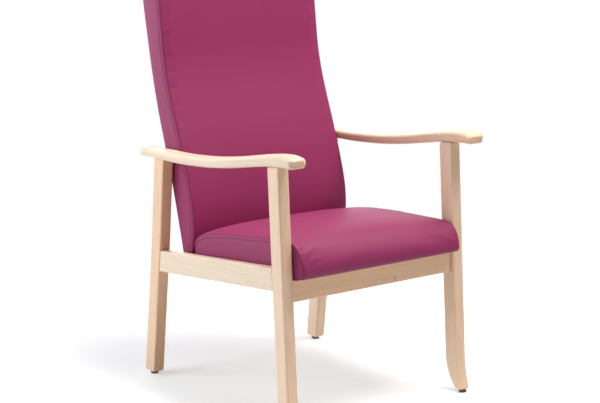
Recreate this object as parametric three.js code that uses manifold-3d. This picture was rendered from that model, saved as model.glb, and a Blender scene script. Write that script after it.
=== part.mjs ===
// High-back fireside chair: a dowelled beech frame with open arms, a drop-in seat and an upholstered back.
// Millimetres, +Z up. The chair faces -Y, and +X is the sitter's left. The origin is the centre of the
// footprint at floor level: the pieces are drawn from the middle of the width, then moved there at the end.

import * as THREE from 'three';
import Module from 'manifold-3d';
import { mergeVertices } from 'three/addons/utils/BufferGeometryUtils.js';

const wasm = await Module();
wasm.setup();

// Fits and cuts
const GAP = 0.3;
const OVERRUN = 2;
const MERGE_TOLERANCE = 1e-4;

// Driving sizes: half the seat's width between the legs, and the height of the side rails at the front
const SEAT_HALF_WIDTH = 246.5;
const SIDE_RAIL_FRONT_TOP_Z = 387;
const SIDE_RAIL_FALL = 48.5;
const SIDE_RAIL_REAR_TOP_Z = SIDE_RAIL_FRONT_TOP_Z - SIDE_RAIL_FALL;

// Legs
const LEG_CLEARANCE = 1.5;
const LEG_WIDTH = 32;
const LEG_DEPTH = 42;
const LEG_ROUNDING = 4;
const LEG_INNER_X = SEAT_HALF_WIDTH + LEG_CLEARANCE;
const LEG_OUTER_X = LEG_INNER_X + LEG_WIDTH;
const GLIDE_HEIGHT = 8;
const GLIDE_RADIUS = 10;
const GLIDE_EDGE = 1;
const GLIDE_SIDES = 20;

const FRONT_LEG_TOP_Z = 631;
const FRONT_LEG_TOP_Y = -199.5;
const FRONT_LEG_KNEE_Z = 92;
const FRONT_LEG_KNEE_Y = -235.5;
const FRONT_FOOT_Y = -254.5;
const FRONT_FOOT_DEPTH = 22;
const FRONT_FOOT_BEND_Z = 40;

const REAR_LEG_TOP_Z = 581;
const REAR_LEG_TOP_Y = 279;
const REAR_LEG_KINK_RISE = 15.5;
const REAR_LEG_KINK_Z = SIDE_RAIL_REAR_TOP_Z + REAR_LEG_KINK_RISE;
const REAR_LEG_KINK_Y = 299;
const REAR_FOOT_Y = 339.5;

// Rails
const RAIL_HEIGHT = 54.5;
const RAIL_ROUNDING = 2.5;
const SIDE_RAIL_RECESS = 1.2;
const SIDE_RAIL_THICKNESS = 24;
const CROSS_RAIL_THICKNESS = 22;
const FRONT_RAIL_Y = -209;
const FRONT_RAIL_STEP = 26.4;
const FRONT_RAIL_TOP_Z = SIDE_RAIL_FRONT_TOP_Z - FRONT_RAIL_STEP;
const REAR_RAIL_Y = 207;
const REAR_RAIL_HEIGHT = 30;

// Arms
const ARM_LAP = 0.5;
const ARM_INNER_X = LEG_INNER_X - ARM_LAP;
const ARM_WIDTH = 49;
const ARM_ROUNDING = 6;
const ARM_REAR_Y = 361;
const ARM_LENGTH = 624;
const ARM_LOW_TOP_Z = 600;
const ARM_RISE = 60;
const ARM_REAR_THICKNESS = 20.5;
const ARM_FRONT_THICKNESS = 28;
const ARM_END_THICKNESS = 22;
const ARM_END_SHARE = 0.9;
const ARM_TIP_SHARE = 0.35;
// Stations of the arm's top line: share of the length from the rear tip, share of the rise
const ARM_TOP_SHARES = [
  [0, -0.05], [0.1, 0], [0.24, 0.03], [0.35, 0.1], [0.48, 0.235],
  [0.61, 0.44], [0.72, 0.66], [0.8, 0.82], [0.885, 0.96], [0.95, 1], [1, 0.93],
];
const ARM_LINE_STEPS = 22;

// Dowels, screws and bolts
const DOWEL_RADIUS = 5;
const DOWEL_LENGTH = 36;
const CROSS_DOWEL_LENGTH = 34;
const CROSS_DOWEL_REACH = 12;
const DOWEL_SPACING = 28;
const REAR_RAIL_DOWEL_RADIUS = 4;
const REAR_RAIL_DOWEL_SPACING = 15;
const ARM_DOWEL_RADIUS = 6;
const ARM_DOWEL_LENGTH = 34;
const ARM_DOWEL_RISE = 13;
const SCREW_RADIUS = 2.5;
const SCREW_HEAD_RADIUS = 4.5;
const SCREW_HEAD_HEIGHT = 2.5;
const HEAD_TOP_SHARE = 0.8;
const ROD_SIDES = 14;
const BOLT_RADIUS = 3;
const BOLT_HEAD_RADIUS = 7;
const BOLT_HEAD_HEIGHT = 3.5;
const BOLT_LENGTH = 28;
const BOLT_SHARES = [-0.82, -0.31, 0.31, 0.82];
const BLOCK_LEG = 62;
const BLOCK_HEIGHT = 22;
const BLOCK_SCREW_INSET = 20;

// Seat
const SEAT_REAR_Y = 203;
const SEAT_FRONT_Y = -253;
const SEAT_EDGE_HEIGHT = 88;
const SEAT_CROWN = 13;
const SEAT_DRAW_IN = 3;
const SEAT_NOSE_DRAW_IN = 6;
const SEAT_NOSE_SHARE = 0.86;
const SEAT_BOARD_THICKNESS = 12;
const SEAT_BOARD_INSET = 9;
const COVER_THICKNESS = 1.4;
// The cushion's section from the rear foot over the top to the front foot, as shares of its depth
// (from the rear) and of its edge height: first along the side seam, then along the middle.
const SEAT_EDGE_SHARES = [
  [0.01, 0], [0.002, 0.22], [0.012, 0.5], [0.05, 0.73], [0.115, 0.86], [0.24, 0.95], [0.43, 1],
  [0.6, 0.99], [0.78, 0.96], [0.885, 0.91], [0.95, 0.76], [0.985, 0.52], [1, 0.25], [0.992, 0.05], [0.95, 0],
];
const SEAT_MIDDLE_SHARES = [
  [0.005, 0], [0, 0.34], [0.002, 0.78], [0.02, 0.84], [0.1, 0.9], [0.24, 0.96], [0.43, 1],
  [0.6, 0.99], [0.78, 0.93], [0.885, 0.82], [0.95, 0.64], [0.985, 0.4], [1, 0.2], [0.992, 0.04], [0.95, 0],
];
const SEAT_CROWN_POWER = 3.4;
const SEAT_STATION_SHARES = [0, 0.28, 0.52, 0.7, 0.83, 0.91, 0.965, 1];

// Back
const BACK_SIDE_STEP = 2.5;
const BACK_HALF_WIDTH = SEAT_HALF_WIDTH - BACK_SIDE_STEP;
const BACK_BOTTOM_RISE = 3.5;
const BACK_BOTTOM_Z = SIDE_RAIL_REAR_TOP_Z + BACK_BOTTOM_RISE;
const BACK_TOP_Z = 1119;
const BACK_CORNER_RADIUS = 42;
const BACK_HOLLOW = 9;
const BACK_TOP_ROUNDING = 9;
const BACK_BOARD_THICKNESS = 12;
const BACK_BOARD_INSET = 6;
const BACK_TONGUE_LENGTH = 56;
const BACK_TONGUE_BOTTOM_Z = BACK_BOTTOM_Z - BACK_TONGUE_LENGTH;
const REAR_COVER_THICKNESS = 1.6;
// The back's two long lines, as shares of its height, then the distance to the rear
// from the lowest point of the front line, as shares of the back's lean.
const BACK_FRONT_Y = 205;
const BACK_REAR_Y = 251;
const BACK_LEAN = 150;
const BACK_REAR_LEAN = 190;
const BACK_FRONT_SHARES = [
  [0, 0], [0.08, -0.055], [0.165, -0.015], [0.268, 0.14], [0.367, 0.327], [0.448, 0.493],
  [0.535, 0.653], [0.618, 0.76], [0.72, 0.833], [0.804, 0.887], [0.9, 0.935], [1, 0.975],
];
const BACK_REAR_SHARES = [
  [0, 0], [0.055, 0.06], [0.21, 0.24], [0.344, 0.42], [0.4, 0.5], [0.479, 0.6],
  [0.573, 0.7], [0.68, 0.795], [0.797, 0.89], [0.9, 0.95], [1, 0.995],
];
const BACK_STATION_SHARES = [0, 0.4, 0.7, 0.86, 0.94, 0.985, 1];
const BACK_LINE_STEPS = 16;
const BACK_LEAST_SQUEEZE_SHARE = 0.04;

// Brackets that hold the back between the rear legs
const BRACKET_RISE = 202;
const BRACKET_Z = BACK_BOTTOM_Z + BRACKET_RISE;
const BRACKET_HEIGHT = 44;
const BRACKET_FLANGE = 30;
const BRACKET_REACH = 17;
const BRACKET_THICKNESS = 2.5;
const BRACKET_SCREW_SHARE = 0.6;

const beech = { color: 0xe6cdb0, roughness: 0.45, metalness: 0 };
const hiddenBeech = { color: 0xd9bd98, roughness: 0.6, metalness: 0 };
const plywood = { color: 0xcda878, roughness: 0.7, metalness: 0 };
const vinyl = { color: 0xa04070, roughness: 0.42, metalness: 0 };
const liningCloth = { color: 0x8f3663, roughness: 0.6, metalness: 0 };
const foam = { color: 0xe8e2c8, roughness: 0.95, metalness: 0 };
const steel = { color: 0xb4b6b8, roughness: 0.35, metalness: 1 };
const darkPlastic = { color: 0x3a332e, roughness: 0.5, metalness: 0 };

const SIDES = [['left', 1], ['right', -1]];
const lerp = THREE.MathUtils.lerp;
const vec = (x, y, z) => new THREE.Vector3(x, y, z);

// Solids

function toSolid(geometry) {
  const plain = geometry.clone();
  plain.deleteAttribute('normal');
  plain.deleteAttribute('uv');
  const merged = mergeVertices(plain, MERGE_TOLERANCE);
  const index = merged.index.array;
  const triVerts = [];
  for (let i = 0; i < index.length; i += 3) {
    const [a, b, c] = [index[i], index[i + 1], index[i + 2]];
    if (a !== b && b !== c && c !== a) triVerts.push(a, b, c);
  }
  const mesh = new wasm.Mesh({
    numProp: 3,
    vertProperties: new Float32Array(merged.attributes.position.array),
    triVerts: new Uint32Array(triVerts),
  });
  return new wasm.Manifold(mesh);
}

function toGeometry(solid) {
  const mesh = solid.getMesh();
  const geometry = new THREE.BufferGeometry();
  geometry.setAttribute('position', new THREE.BufferAttribute(new Float32Array(mesh.vertProperties), 3));
  geometry.setIndex(new THREE.BufferAttribute(new Uint32Array(mesh.triVerts), 1));
  return geometry;
}

// A bar whose outline is drawn in Y and Z and runs along X, with its long edges rounded.
function bar(outline, fromX, toX, rounding = 0) {
  const settings = { depth: toX - fromX - 2 * rounding, bevelEnabled: rounding > 0, curveSegments: 7 };
  if (rounding > 0) {
    Object.assign(settings, {
      bevelSize: rounding, bevelThickness: rounding, bevelOffset: -rounding, bevelSegments: 2,
    });
  }
  const geometry = new THREE.ExtrudeGeometry(outline, settings);
  geometry.translate(0, 0, fromX + rounding);
  const axes = new THREE.Matrix4().makeBasis(vec(0, 1, 0), vec(0, 0, 1), vec(1, 0, 0));
  return toSolid(geometry.applyMatrix4(axes));
}

function outlineOf(points) {
  return new THREE.Shape(points.map(([y, z]) => new THREE.Vector2(y, z)));
}

// A block whose outline is drawn in X and Y.
function block(points, fromZ, toZ) {
  const geometry = new THREE.ExtrudeGeometry(outlineOf(points), { depth: toZ - fromZ, bevelEnabled: false });
  geometry.translate(0, 0, fromZ);
  return toSolid(geometry);
}

// A turned piece with its own axis along the given direction, starting at the given point.
function turned(profile, from, direction, sides = ROD_SIDES) {
  const geometry = new THREE.LatheGeometry(profile.map(([r, h]) => new THREE.Vector2(r, h)), sides);
  const turn = new THREE.Quaternion().setFromUnitVectors(vec(0, 1, 0), direction.clone().normalize());
  geometry.applyQuaternion(turn);
  geometry.translate(from.x, from.y, from.z);
  const solid = toSolid(geometry);
  return solid.volume() > 0 ? solid : toSolid(flipped(geometry));
}

function flipped(geometry) {
  const turnedOver = geometry.clone();
  const index = turnedOver.index.array;
  for (let i = 0; i < index.length; i += 3) {
    [index[i], index[i + 1]] = [index[i + 1], index[i]];
  }
  return turnedOver;
}

function rod(from, to, radius) {
  const length = from.distanceTo(to);
  return turned([[0, 0], [radius, 0], [radius, length], [0, length]], from, to.clone().sub(from));
}

// A closed skin through rings of points: the rings run along X and each is a loop in Y and Z.
function loft(rings) {
  const count = rings[0].length;
  const positions = rings.flat().flatMap((p) => [p.x, p.y, p.z]);
  const index = [];
  for (let i = 0; i + 1 < rings.length; i += 1) {
    for (let j = 0; j < count; j += 1) {
      const [a, b] = [i * count + j, i * count + (j + 1) % count];
      index.push(a, a + count, b, b, a + count, b + count);
    }
  }
  for (const [ring, turn] of [[0, 1], [rings.length - 1, -1]]) {
    const flat = rings[ring].map((p) => new THREE.Vector2(p.y, p.z));
    for (const face of THREE.ShapeUtils.triangulateShape(flat, [])) {
      const sameWay = THREE.ShapeUtils.area(face.map((k) => flat[k])) * THREE.ShapeUtils.area(flat) * turn > 0;
      const [a, b, c] = face.map((k) => ring * count + k);
      index.push(...(sameWay ? [a, b, c] : [a, c, b]));
    }
  }
  const geometry = new THREE.BufferGeometry();
  geometry.setAttribute('position', new THREE.Float32BufferAttribute(positions, 3));
  geometry.setIndex(index);
  const solid = toSolid(geometry);
  return solid.volume() > 0 ? solid : toSolid(flipped(geometry));
}

// Both halves of the width, from a list of shares that starts at the middle.
function acrossWidth(shares) {
  return [...shares.slice(1).reverse().map((s) => -s), ...shares];
}

// Pieces

const pieces = new Map();
const groups = { frame: new THREE.Group(), seat: new THREE.Group(), back: new THREE.Group() };

function add(group, name, solid, look) {
  pieces.set(name, { group, solid, look });
}

function cut(cutter, ...names) {
  for (const name of names) {
    const piece = pieces.get(name);
    piece.solid = piece.solid.subtract(cutter);
  }
}

function dowel(name, middle, direction, length, radius, ...holders) {
  const half = direction.clone().multiplyScalar(length / 2);
  const spare = direction.clone().multiplyScalar(length / 2 + GAP);
  cut(rod(middle.clone().sub(spare), middle.clone().add(spare), radius + GAP), ...holders);
  add('frame', name, rod(middle.clone().sub(half), middle.clone().add(half), radius), hiddenBeech);
}

// Lines of the frame in side view: each gives Y at a height, or Z at a depth

const frontLegFrontY = (z) => FRONT_LEG_TOP_Y
  + (FRONT_LEG_KNEE_Y - FRONT_LEG_TOP_Y) * (FRONT_LEG_TOP_Z - z) / (FRONT_LEG_TOP_Z - FRONT_LEG_KNEE_Z);
const frontLegRearY = (z) => frontLegFrontY(z) + LEG_DEPTH;
const rearLegFrontY = (z) => (z > REAR_LEG_KINK_Z
  ? REAR_LEG_TOP_Y + (REAR_LEG_KINK_Y - REAR_LEG_TOP_Y) * (REAR_LEG_TOP_Z - z) / (REAR_LEG_TOP_Z - REAR_LEG_KINK_Z)
  : REAR_LEG_KINK_Y + (REAR_FOOT_Y - REAR_LEG_KINK_Y) * (REAR_LEG_KINK_Z - z) / REAR_LEG_KINK_Z);

// The arm's top line from the rear tip to the front end, and under it the underside, thicker toward the front.
const armY = (share) => ARM_REAR_Y - share * ARM_LENGTH;
const armTop = new THREE.SplineCurve(
  ARM_TOP_SHARES.map(([s, rise]) => new THREE.Vector2(armY(s), ARM_LOW_TOP_Z + rise * ARM_RISE)),
).getPoints(ARM_LINE_STEPS);
const armUnder = armTop.map((p) => {
  const share = (ARM_REAR_Y - p.x) / ARM_LENGTH;
  const end = Math.max(0, share - ARM_END_SHARE) / (1 - ARM_END_SHARE);
  const thickness = lerp(ARM_REAR_THICKNESS, ARM_FRONT_THICKNESS, share);
  return new THREE.Vector2(p.x, p.y - lerp(thickness, ARM_END_THICKNESS, end ** 2));
});

// The height of an arm line at a depth, beyond the front end that of the end itself.
function heightAt(line, y) {
  const k = line.findIndex((p, i) => i > 0 && p.x <= y);
  if (k < 0) return line[line.length - 1].y;
  const [rear, front] = [line[k - 1], line[k]];
  return lerp(rear.y, front.y, (rear.x - y) / (rear.x - front.x));
}

const SIDE_RAIL_OUTER_X = LEG_OUTER_X - SIDE_RAIL_RECESS;
const SIDE_RAIL_INNER_X = SIDE_RAIL_OUTER_X - SIDE_RAIL_THICKNESS;
const SIDE_RAIL_FRONT_Y = frontLegRearY(SIDE_RAIL_FRONT_TOP_Z);
const SIDE_RAIL_REAR_Y = rearLegFrontY(SIDE_RAIL_REAR_TOP_Z);
const SLOPE = (SIDE_RAIL_FRONT_TOP_Z - SIDE_RAIL_REAR_TOP_Z) / (SIDE_RAIL_REAR_Y - SIDE_RAIL_FRONT_Y);
const sideRailTopZ = (y) => SIDE_RAIL_FRONT_TOP_Z - SLOPE * (y - SIDE_RAIL_FRONT_Y);
const seatBaseZ = (y) => FRONT_RAIL_TOP_Z - SLOPE * (y - FRONT_RAIL_Y);

// Legs: each reaches up into the arm, whose underside trims it later

function frontLeg(side, sign) {
  const outline = new THREE.Shape();
  const topZ = heightAt(armTop, FRONT_LEG_TOP_Y);
  outline.moveTo(frontLegFrontY(topZ), topZ);
  outline.lineTo(frontLegFrontY(FRONT_LEG_KNEE_Z), FRONT_LEG_KNEE_Z);
  outline.quadraticCurveTo(frontLegFrontY(FRONT_FOOT_BEND_Z), FRONT_FOOT_BEND_Z, FRONT_FOOT_Y, GLIDE_HEIGHT);
  outline.lineTo(FRONT_FOOT_Y + FRONT_FOOT_DEPTH, GLIDE_HEIGHT);
  outline.quadraticCurveTo(frontLegRearY(FRONT_FOOT_BEND_Z), FRONT_FOOT_BEND_Z,
    frontLegRearY(FRONT_LEG_KNEE_Z), FRONT_LEG_KNEE_Z);
  outline.lineTo(frontLegRearY(topZ), topZ);
  const [near, far] = sign > 0 ? [LEG_INNER_X, LEG_OUTER_X] : [-LEG_OUTER_X, -LEG_INNER_X];
  add('frame', `front_leg_${side}`, bar(outline, near, far, LEG_ROUNDING), beech);
}

function rearLeg(side, sign) {
  const topZ = heightAt(armTop, REAR_LEG_TOP_Y + LEG_DEPTH);
  const heights = [topZ, REAR_LEG_KINK_Z, GLIDE_HEIGHT];
  const frontLine = heights.map((z) => [rearLegFrontY(z), z]);
  const rearLine = heights.map((z) => [rearLegFrontY(z) + LEG_DEPTH, z]).reverse();
  const [near, far] = sign > 0 ? [LEG_INNER_X, LEG_OUTER_X] : [-LEG_OUTER_X, -LEG_INNER_X];
  add('frame', `rear_leg_${side}`, bar(outlineOf([...frontLine, ...rearLine]), near, far, LEG_ROUNDING), beech);
}

function glide(side, sign, end, middleY) {
  const profile = [
    [0, 0], [GLIDE_RADIUS - GLIDE_EDGE, 0], [GLIDE_RADIUS, GLIDE_EDGE], [GLIDE_RADIUS, GLIDE_HEIGHT], [0, GLIDE_HEIGHT],
  ];
  const at = vec(sign * (LEG_OUTER_X - LEG_WIDTH / 2), middleY, 0);
  add('frame', `${end}_glide_${side}`, turned(profile, at, vec(0, 0, 1), GLIDE_SIDES), darkPlastic);
}

// Arms

function arm(side, sign) {
  const tip = new THREE.Vector2(
    armY(0) + ARM_TIP_SHARE * ARM_REAR_THICKNESS, (armTop[0].y + armUnder[0].y) / 2,
  );
  const outline = new THREE.Shape([tip, ...armUnder, ...[...armTop].reverse()]);
  const [near, far] = sign > 0
    ? [ARM_INNER_X, ARM_INNER_X + ARM_WIDTH] : [-ARM_INNER_X - ARM_WIDTH, -ARM_INNER_X];
  add('frame', `armrest_${side}`, bar(outline, near, far, ARM_ROUNDING), beech);

  // Both legs end a hair under the arm: all that rises past its underside goes.
  const aboveZ = Math.max(...armTop.map((p) => p.y)) + LEG_DEPTH;
  const above = [[armY(1), aboveZ], [armY(0), aboveZ]];
  const scribe = bar(outlineOf([...armUnder.map((p) => [p.x, p.y]), ...above]), near - ARM_WIDTH, far + ARM_WIDTH);
  cut(scribe.translate([0, 0, -GAP]), `front_leg_${side}`, `rear_leg_${side}`);
}

function armDowels(side, sign) {
  const x = sign * (LEG_OUTER_X - LEG_WIDTH / 2);
  for (const [end, topY] of [['front', FRONT_LEG_TOP_Y], ['rear', REAR_LEG_TOP_Y]]) {
    const y = topY + LEG_DEPTH / 2;
    const middle = vec(x, y, heightAt(armUnder, y) + ARM_DOWEL_RISE - ARM_DOWEL_LENGTH / 2);
    dowel(`arm_dowel_${end}_${side}`, middle, vec(0, 0, 1), ARM_DOWEL_LENGTH, ARM_DOWEL_RADIUS,
      `armrest_${side}`, `${end}_leg_${side}`);
  }
}

// Rails

function sideRail(side, sign) {
  const corner = (lineY, railY, offset) => {
    const z = sideRailTopZ(railY) - offset;
    return [lineY(z), z];
  };
  const front = (z) => frontLegRearY(z) + GAP;
  const rear = (z) => rearLegFrontY(z) - GAP;
  const outline = outlineOf([
    corner(front, SIDE_RAIL_FRONT_Y, 0),
    corner(front, SIDE_RAIL_FRONT_Y, RAIL_HEIGHT),
    corner(rear, SIDE_RAIL_REAR_Y, RAIL_HEIGHT),
    corner(rear, SIDE_RAIL_REAR_Y, 0),
  ]);
  const [near, far] = sign > 0
    ? [SIDE_RAIL_INNER_X, SIDE_RAIL_OUTER_X] : [-SIDE_RAIL_OUTER_X, -SIDE_RAIL_INNER_X];
  add('frame', `side_rail_${side}`, bar(outline, near, far, RAIL_ROUNDING), beech);
}

// A rail across the chair whose top is planed to the slope of the seat.
function crossRail(name, frontY, height, halfLength) {
  const rearY = frontY + CROSS_RAIL_THICKNESS;
  const bottomZ = seatBaseZ(frontY) - height;
  const outline = outlineOf([
    [frontY, bottomZ], [rearY, bottomZ], [rearY, seatBaseZ(rearY)], [frontY, seatBaseZ(frontY)],
  ]);
  add('frame', name, bar(outline, -halfLength, halfLength, RAIL_ROUNDING), beech);
}

function railDowels(side, sign) {
  const sideX = sign * (SIDE_RAIL_OUTER_X - SIDE_RAIL_THICKNESS / 2);
  const ends = [
    ['front', SIDE_RAIL_FRONT_Y, frontLegRearY, -1],
    ['rear', SIDE_RAIL_REAR_Y, rearLegFrontY, 1],
  ];
  const frontRail = {
    end: 'front', railY: FRONT_RAIL_Y, height: RAIL_HEIGHT, faceX: LEG_INNER_X, holder: 'front_leg',
    radius: DOWEL_RADIUS, spacing: DOWEL_SPACING,
  };
  const rearRail = {
    end: 'rear', railY: REAR_RAIL_Y, height: REAR_RAIL_HEIGHT, faceX: SIDE_RAIL_INNER_X, holder: 'side_rail',
    radius: REAR_RAIL_DOWEL_RADIUS, spacing: REAR_RAIL_DOWEL_SPACING,
  };
  for (const [place, above] of [['upper', 1], ['lower', -1]]) {
    for (const [end, railY, lineY, toward] of ends) {
      const z = sideRailTopZ(railY) - RAIL_HEIGHT / 2 + above * DOWEL_SPACING / 2;
      const middle = vec(sideX, lineY(z), z);
      dowel(`side_rail_dowel_${end}_${side}_${place}`, middle, vec(0, toward, 0), DOWEL_LENGTH,
        DOWEL_RADIUS, `side_rail_${side}`, `${end}_leg_${side}`);
    }
    for (const { end, railY, height, faceX, holder, radius, spacing } of [frontRail, rearRail]) {
      const x = sign * (faceX + CROSS_DOWEL_REACH - CROSS_DOWEL_LENGTH / 2);
      const z = seatBaseZ(railY) - height / 2 + above * spacing / 2;
      dowel(`${end}_rail_dowel_${side}_${place}`, vec(x, railY + CROSS_RAIL_THICKNESS / 2, z), vec(1, 0, 0),
        CROSS_DOWEL_LENGTH, radius, `${end}_rail`, `${holder}_${side}`);
    }
  }
}

// The seat stands on the front and rear rails and leans back with the side rails.

const seatTilt = new THREE.Matrix4()
  .makeTranslation(0, FRONT_RAIL_Y, FRONT_RAIL_TOP_Z + GAP)
  .multiply(new THREE.Matrix4().makeRotationX(-Math.atan(SLOPE)));
const tilt = (solid) => toSolid(toGeometry(solid).applyMatrix4(seatTilt));
const onSeat = (y) => (y - FRONT_RAIL_Y) * Math.sqrt(1 + SLOPE * SLOPE);

const SEAT_DEPTH = onSeat(SEAT_REAR_Y) - onSeat(SEAT_FRONT_Y);
const SEAT_BOARD_FRONT_Y = onSeat(FRONT_RAIL_Y - CROSS_RAIL_THICKNESS / 2);
const SEAT_BOARD_REAR_Y = onSeat(REAR_RAIL_Y - CROSS_RAIL_THICKNESS / 2);

// The cushion's outer form drawn in by an inset, so that foam and cover share one shape.
function seatForm(inset) {
  const halfWidth = SEAT_HALF_WIDTH - inset;
  const scaleY = (SEAT_DEPTH - 2 * inset) / SEAT_DEPTH;
  const rearY = onSeat(SEAT_REAR_Y) - inset;
  const middleHeight = SEAT_EDGE_HEIGHT + SEAT_CROWN;
  const rings = acrossWidth(SEAT_STATION_SHARES).map((share) => {
    const edge = Math.abs(share) ** SEAT_CROWN_POWER;
    return SEAT_EDGE_SHARES.map(([edgeY, edgeZ], k) => {
      const [middleY, middleZ] = SEAT_MIDDLE_SHARES[k];
      const fullZ = lerp(middleZ * middleHeight, edgeZ * SEAT_EDGE_HEIGHT, edge);
      const z = inset + fullZ * (middleHeight - 2 * inset) / middleHeight;
      const depthShare = lerp(middleY, edgeY, edge);
      const y = rearY - depthShare * SEAT_DEPTH * scaleY;
      const nose = Math.max(0, depthShare - SEAT_NOSE_SHARE) / (1 - SEAT_NOSE_SHARE);
      const drawn = edge * (SEAT_DRAW_IN * (1 - Math.min(edgeZ, 1)) + SEAT_NOSE_DRAW_IN * nose ** 2);
      return vec(share * halfWidth - Math.sign(share) * drawn, y, z);
    });
  });
  return loft(rings);
}

function seatBoard(spare) {
  const halfWidth = SEAT_HALF_WIDTH - SEAT_BOARD_INSET + spare;
  const [frontY, rearY] = [SEAT_BOARD_FRONT_Y - spare, SEAT_BOARD_REAR_Y + spare];
  const corners = [[-halfWidth, frontY], [halfWidth, frontY], [halfWidth, rearY], [-halfWidth, rearY]];
  return block(corners, spare > 0 ? -OVERRUN : 0, SEAT_BOARD_THICKNESS + spare);
}

// The cushion against the back: the rear of the form takes the shape of the back's front.
function seatAgainstBack(inset) {
  return tilt(seatForm(inset)).subtract(backForm(-inset - GAP, 0));
}

function seat() {
  const pocket = tilt(seatBoard(GAP));
  add('seat', 'seat_board', tilt(seatBoard(0)), plywood);
  add('seat', 'seat_foam', seatAgainstBack(COVER_THICKNESS + GAP).subtract(pocket), foam);
  add('seat', 'seat_cover', seatAgainstBack(0).subtract(seatAgainstBack(COVER_THICKNESS)).subtract(pocket), vinyl);
}

// Corner blocks under the seat board, each held to it by one screw from below.
function cornerBlock(side, sign, end) {
  const front = end === 'front';
  const sideX = SIDE_RAIL_INNER_X - GAP;
  const railY = front ? FRONT_RAIL_Y + CROSS_RAIL_THICKNESS + GAP : REAR_RAIL_Y - GAP;
  const inward = front ? 1 : -1;
  const legX = LEG_INNER_X - GAP;
  const legY = frontLegRearY(FRONT_RAIL_TOP_Z - BLOCK_HEIGHT) + OVERRUN;
  const corner = front ? [[legX, railY], [legX, legY], [sideX, legY]] : [[sideX, railY]];
  const points = [[sideX - BLOCK_LEG, railY], ...corner, [sideX, railY + inward * BLOCK_LEG]];
  const topZ = seatBaseZ(railY);
  const underSeat = block(
    [[-sideX, onSeat(SEAT_FRONT_Y)], [sideX, onSeat(SEAT_FRONT_Y)], [sideX, onSeat(SEAT_REAR_Y)],
      [-sideX, onSeat(SEAT_REAR_Y)]], -GAP, SEAT_EDGE_HEIGHT);
  const solid = block(points.map(([x, y]) => [sign * x, y]), topZ - BLOCK_HEIGHT, topZ + OVERRUN);
  add('frame', `corner_block_${end}_${side}`, solid.subtract(tilt(underSeat)), hiddenBeech);

  const at = vec(sign * (sideX - BLOCK_SCREW_INSET), railY + inward * BLOCK_SCREW_INSET, topZ - BLOCK_HEIGHT);
  const length = BLOCK_HEIGHT + SEAT_BOARD_THICKNESS / 2;
  const down = vec(0, 0, 1);
  cut(rod(at.clone().addScaledVector(down, -OVERRUN), at.clone().addScaledVector(down, length + GAP),
    SCREW_RADIUS + GAP), `corner_block_${end}_${side}`, 'seat_board');
  add('seat', `seat_screw_${end}_${side}`, headed(at, down, length, SCREW_RADIUS, SCREW_HEAD_RADIUS,
    SCREW_HEAD_HEIGHT), steel);
}

// A screw or bolt: the head lies outside the face at the given point, the shank runs into it.
function headed(at, direction, length, radius, headRadius, headHeight) {
  const profile = [
    [0, -headHeight - GAP], [headRadius * HEAD_TOP_SHARE, -headHeight - GAP], [headRadius, -GAP - headHeight / 2],
    [headRadius, -GAP], [radius, -GAP], [radius, length], [0, length],
  ];
  return turned(profile, at, direction);
}

// The back: two long lines in side view, front and rear, as heights and depths.

function backLine(shares, startY, lean) {
  const height = BACK_TOP_Z - BACK_BOTTOM_Z;
  const points = shares.map(([up, back]) => new THREE.Vector2(startY + back * lean, BACK_BOTTOM_Z + up * height));
  return new THREE.SplineCurve(points).getPoints(BACK_LINE_STEPS);
}
const backFront = backLine(BACK_FRONT_SHARES, BACK_FRONT_Y, BACK_LEAN);
const backRear = backLine(BACK_REAR_SHARES, BACK_REAR_Y, BACK_REAR_LEAN);

// The loop of one station: up the front line, over the rounded top, down the rear line.
function backRing(x, inset, rearInset, halfWidth) {
  const radius = BACK_CORNER_RADIUS - inset;
  const past = Math.max(0, Math.abs(x) - (halfWidth - radius));
  const squeeze = Math.max(Math.sqrt(Math.max(0, 1 - (past / radius) ** 2)), BACK_LEAST_SQUEEZE_SHARE);
  const hollow = BACK_HOLLOW * (1 - (x / halfWidth) ** 2);
  const springZ = BACK_TOP_Z - BACK_CORNER_RADIUS;
  const bottomZ = BACK_BOTTOM_Z + inset;
  const points = [];
  backFront.forEach((p, i) => {
    const ease = i === backFront.length - 1 ? BACK_TOP_ROUNDING : 0;
    points.push([p.x + inset + hollow + ease, p.y]);
  });
  [...backRear].reverse().forEach((p) => points.push([p.x - rearInset, p.y]));
  return points.map(([y, z]) => {
    const low = Math.max(z, bottomZ);
    const high = low > springZ ? springZ + (low - springZ) * squeeze * (radius / BACK_CORNER_RADIUS) : low;
    return vec(x, y, high);
  });
}

function backForm(inset, rearInset) {
  const halfWidth = BACK_HALF_WIDTH - inset;
  return loft(acrossWidth(BACK_STATION_SHARES).map((s) => backRing(s * halfWidth, inset, rearInset, halfWidth)));
}

// A sheet that follows the rear line, from one depth in front of it to another.
function rearSheet(nearInset, farInset, fromZ, toZ, halfWidth) {
  const line = backRear.filter((p) => p.y > BACK_BOTTOM_Z && p.y < toZ);
  const first = backRear[0];
  const side = (inset) => [[first.x - inset, fromZ], [first.x - inset, BACK_BOTTOM_Z],
    ...line.map((p) => [p.x - inset, p.y]), [line[line.length - 1].x - inset, toZ]];
  return bar(outlineOf([...side(nearInset).reverse(), ...side(farInset)]), -halfWidth, halfWidth);
}

const BOARD_REAR_INSET = REAR_COVER_THICKNESS + GAP;
const BOARD_FRONT_INSET = BOARD_REAR_INSET + BACK_BOARD_THICKNESS;
const BOARD_TOP_Z = BACK_TOP_Z - BACK_CORNER_RADIUS / 2;
const BOARD_HALF_WIDTH = BACK_HALF_WIDTH - BACK_BOARD_INSET;

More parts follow.
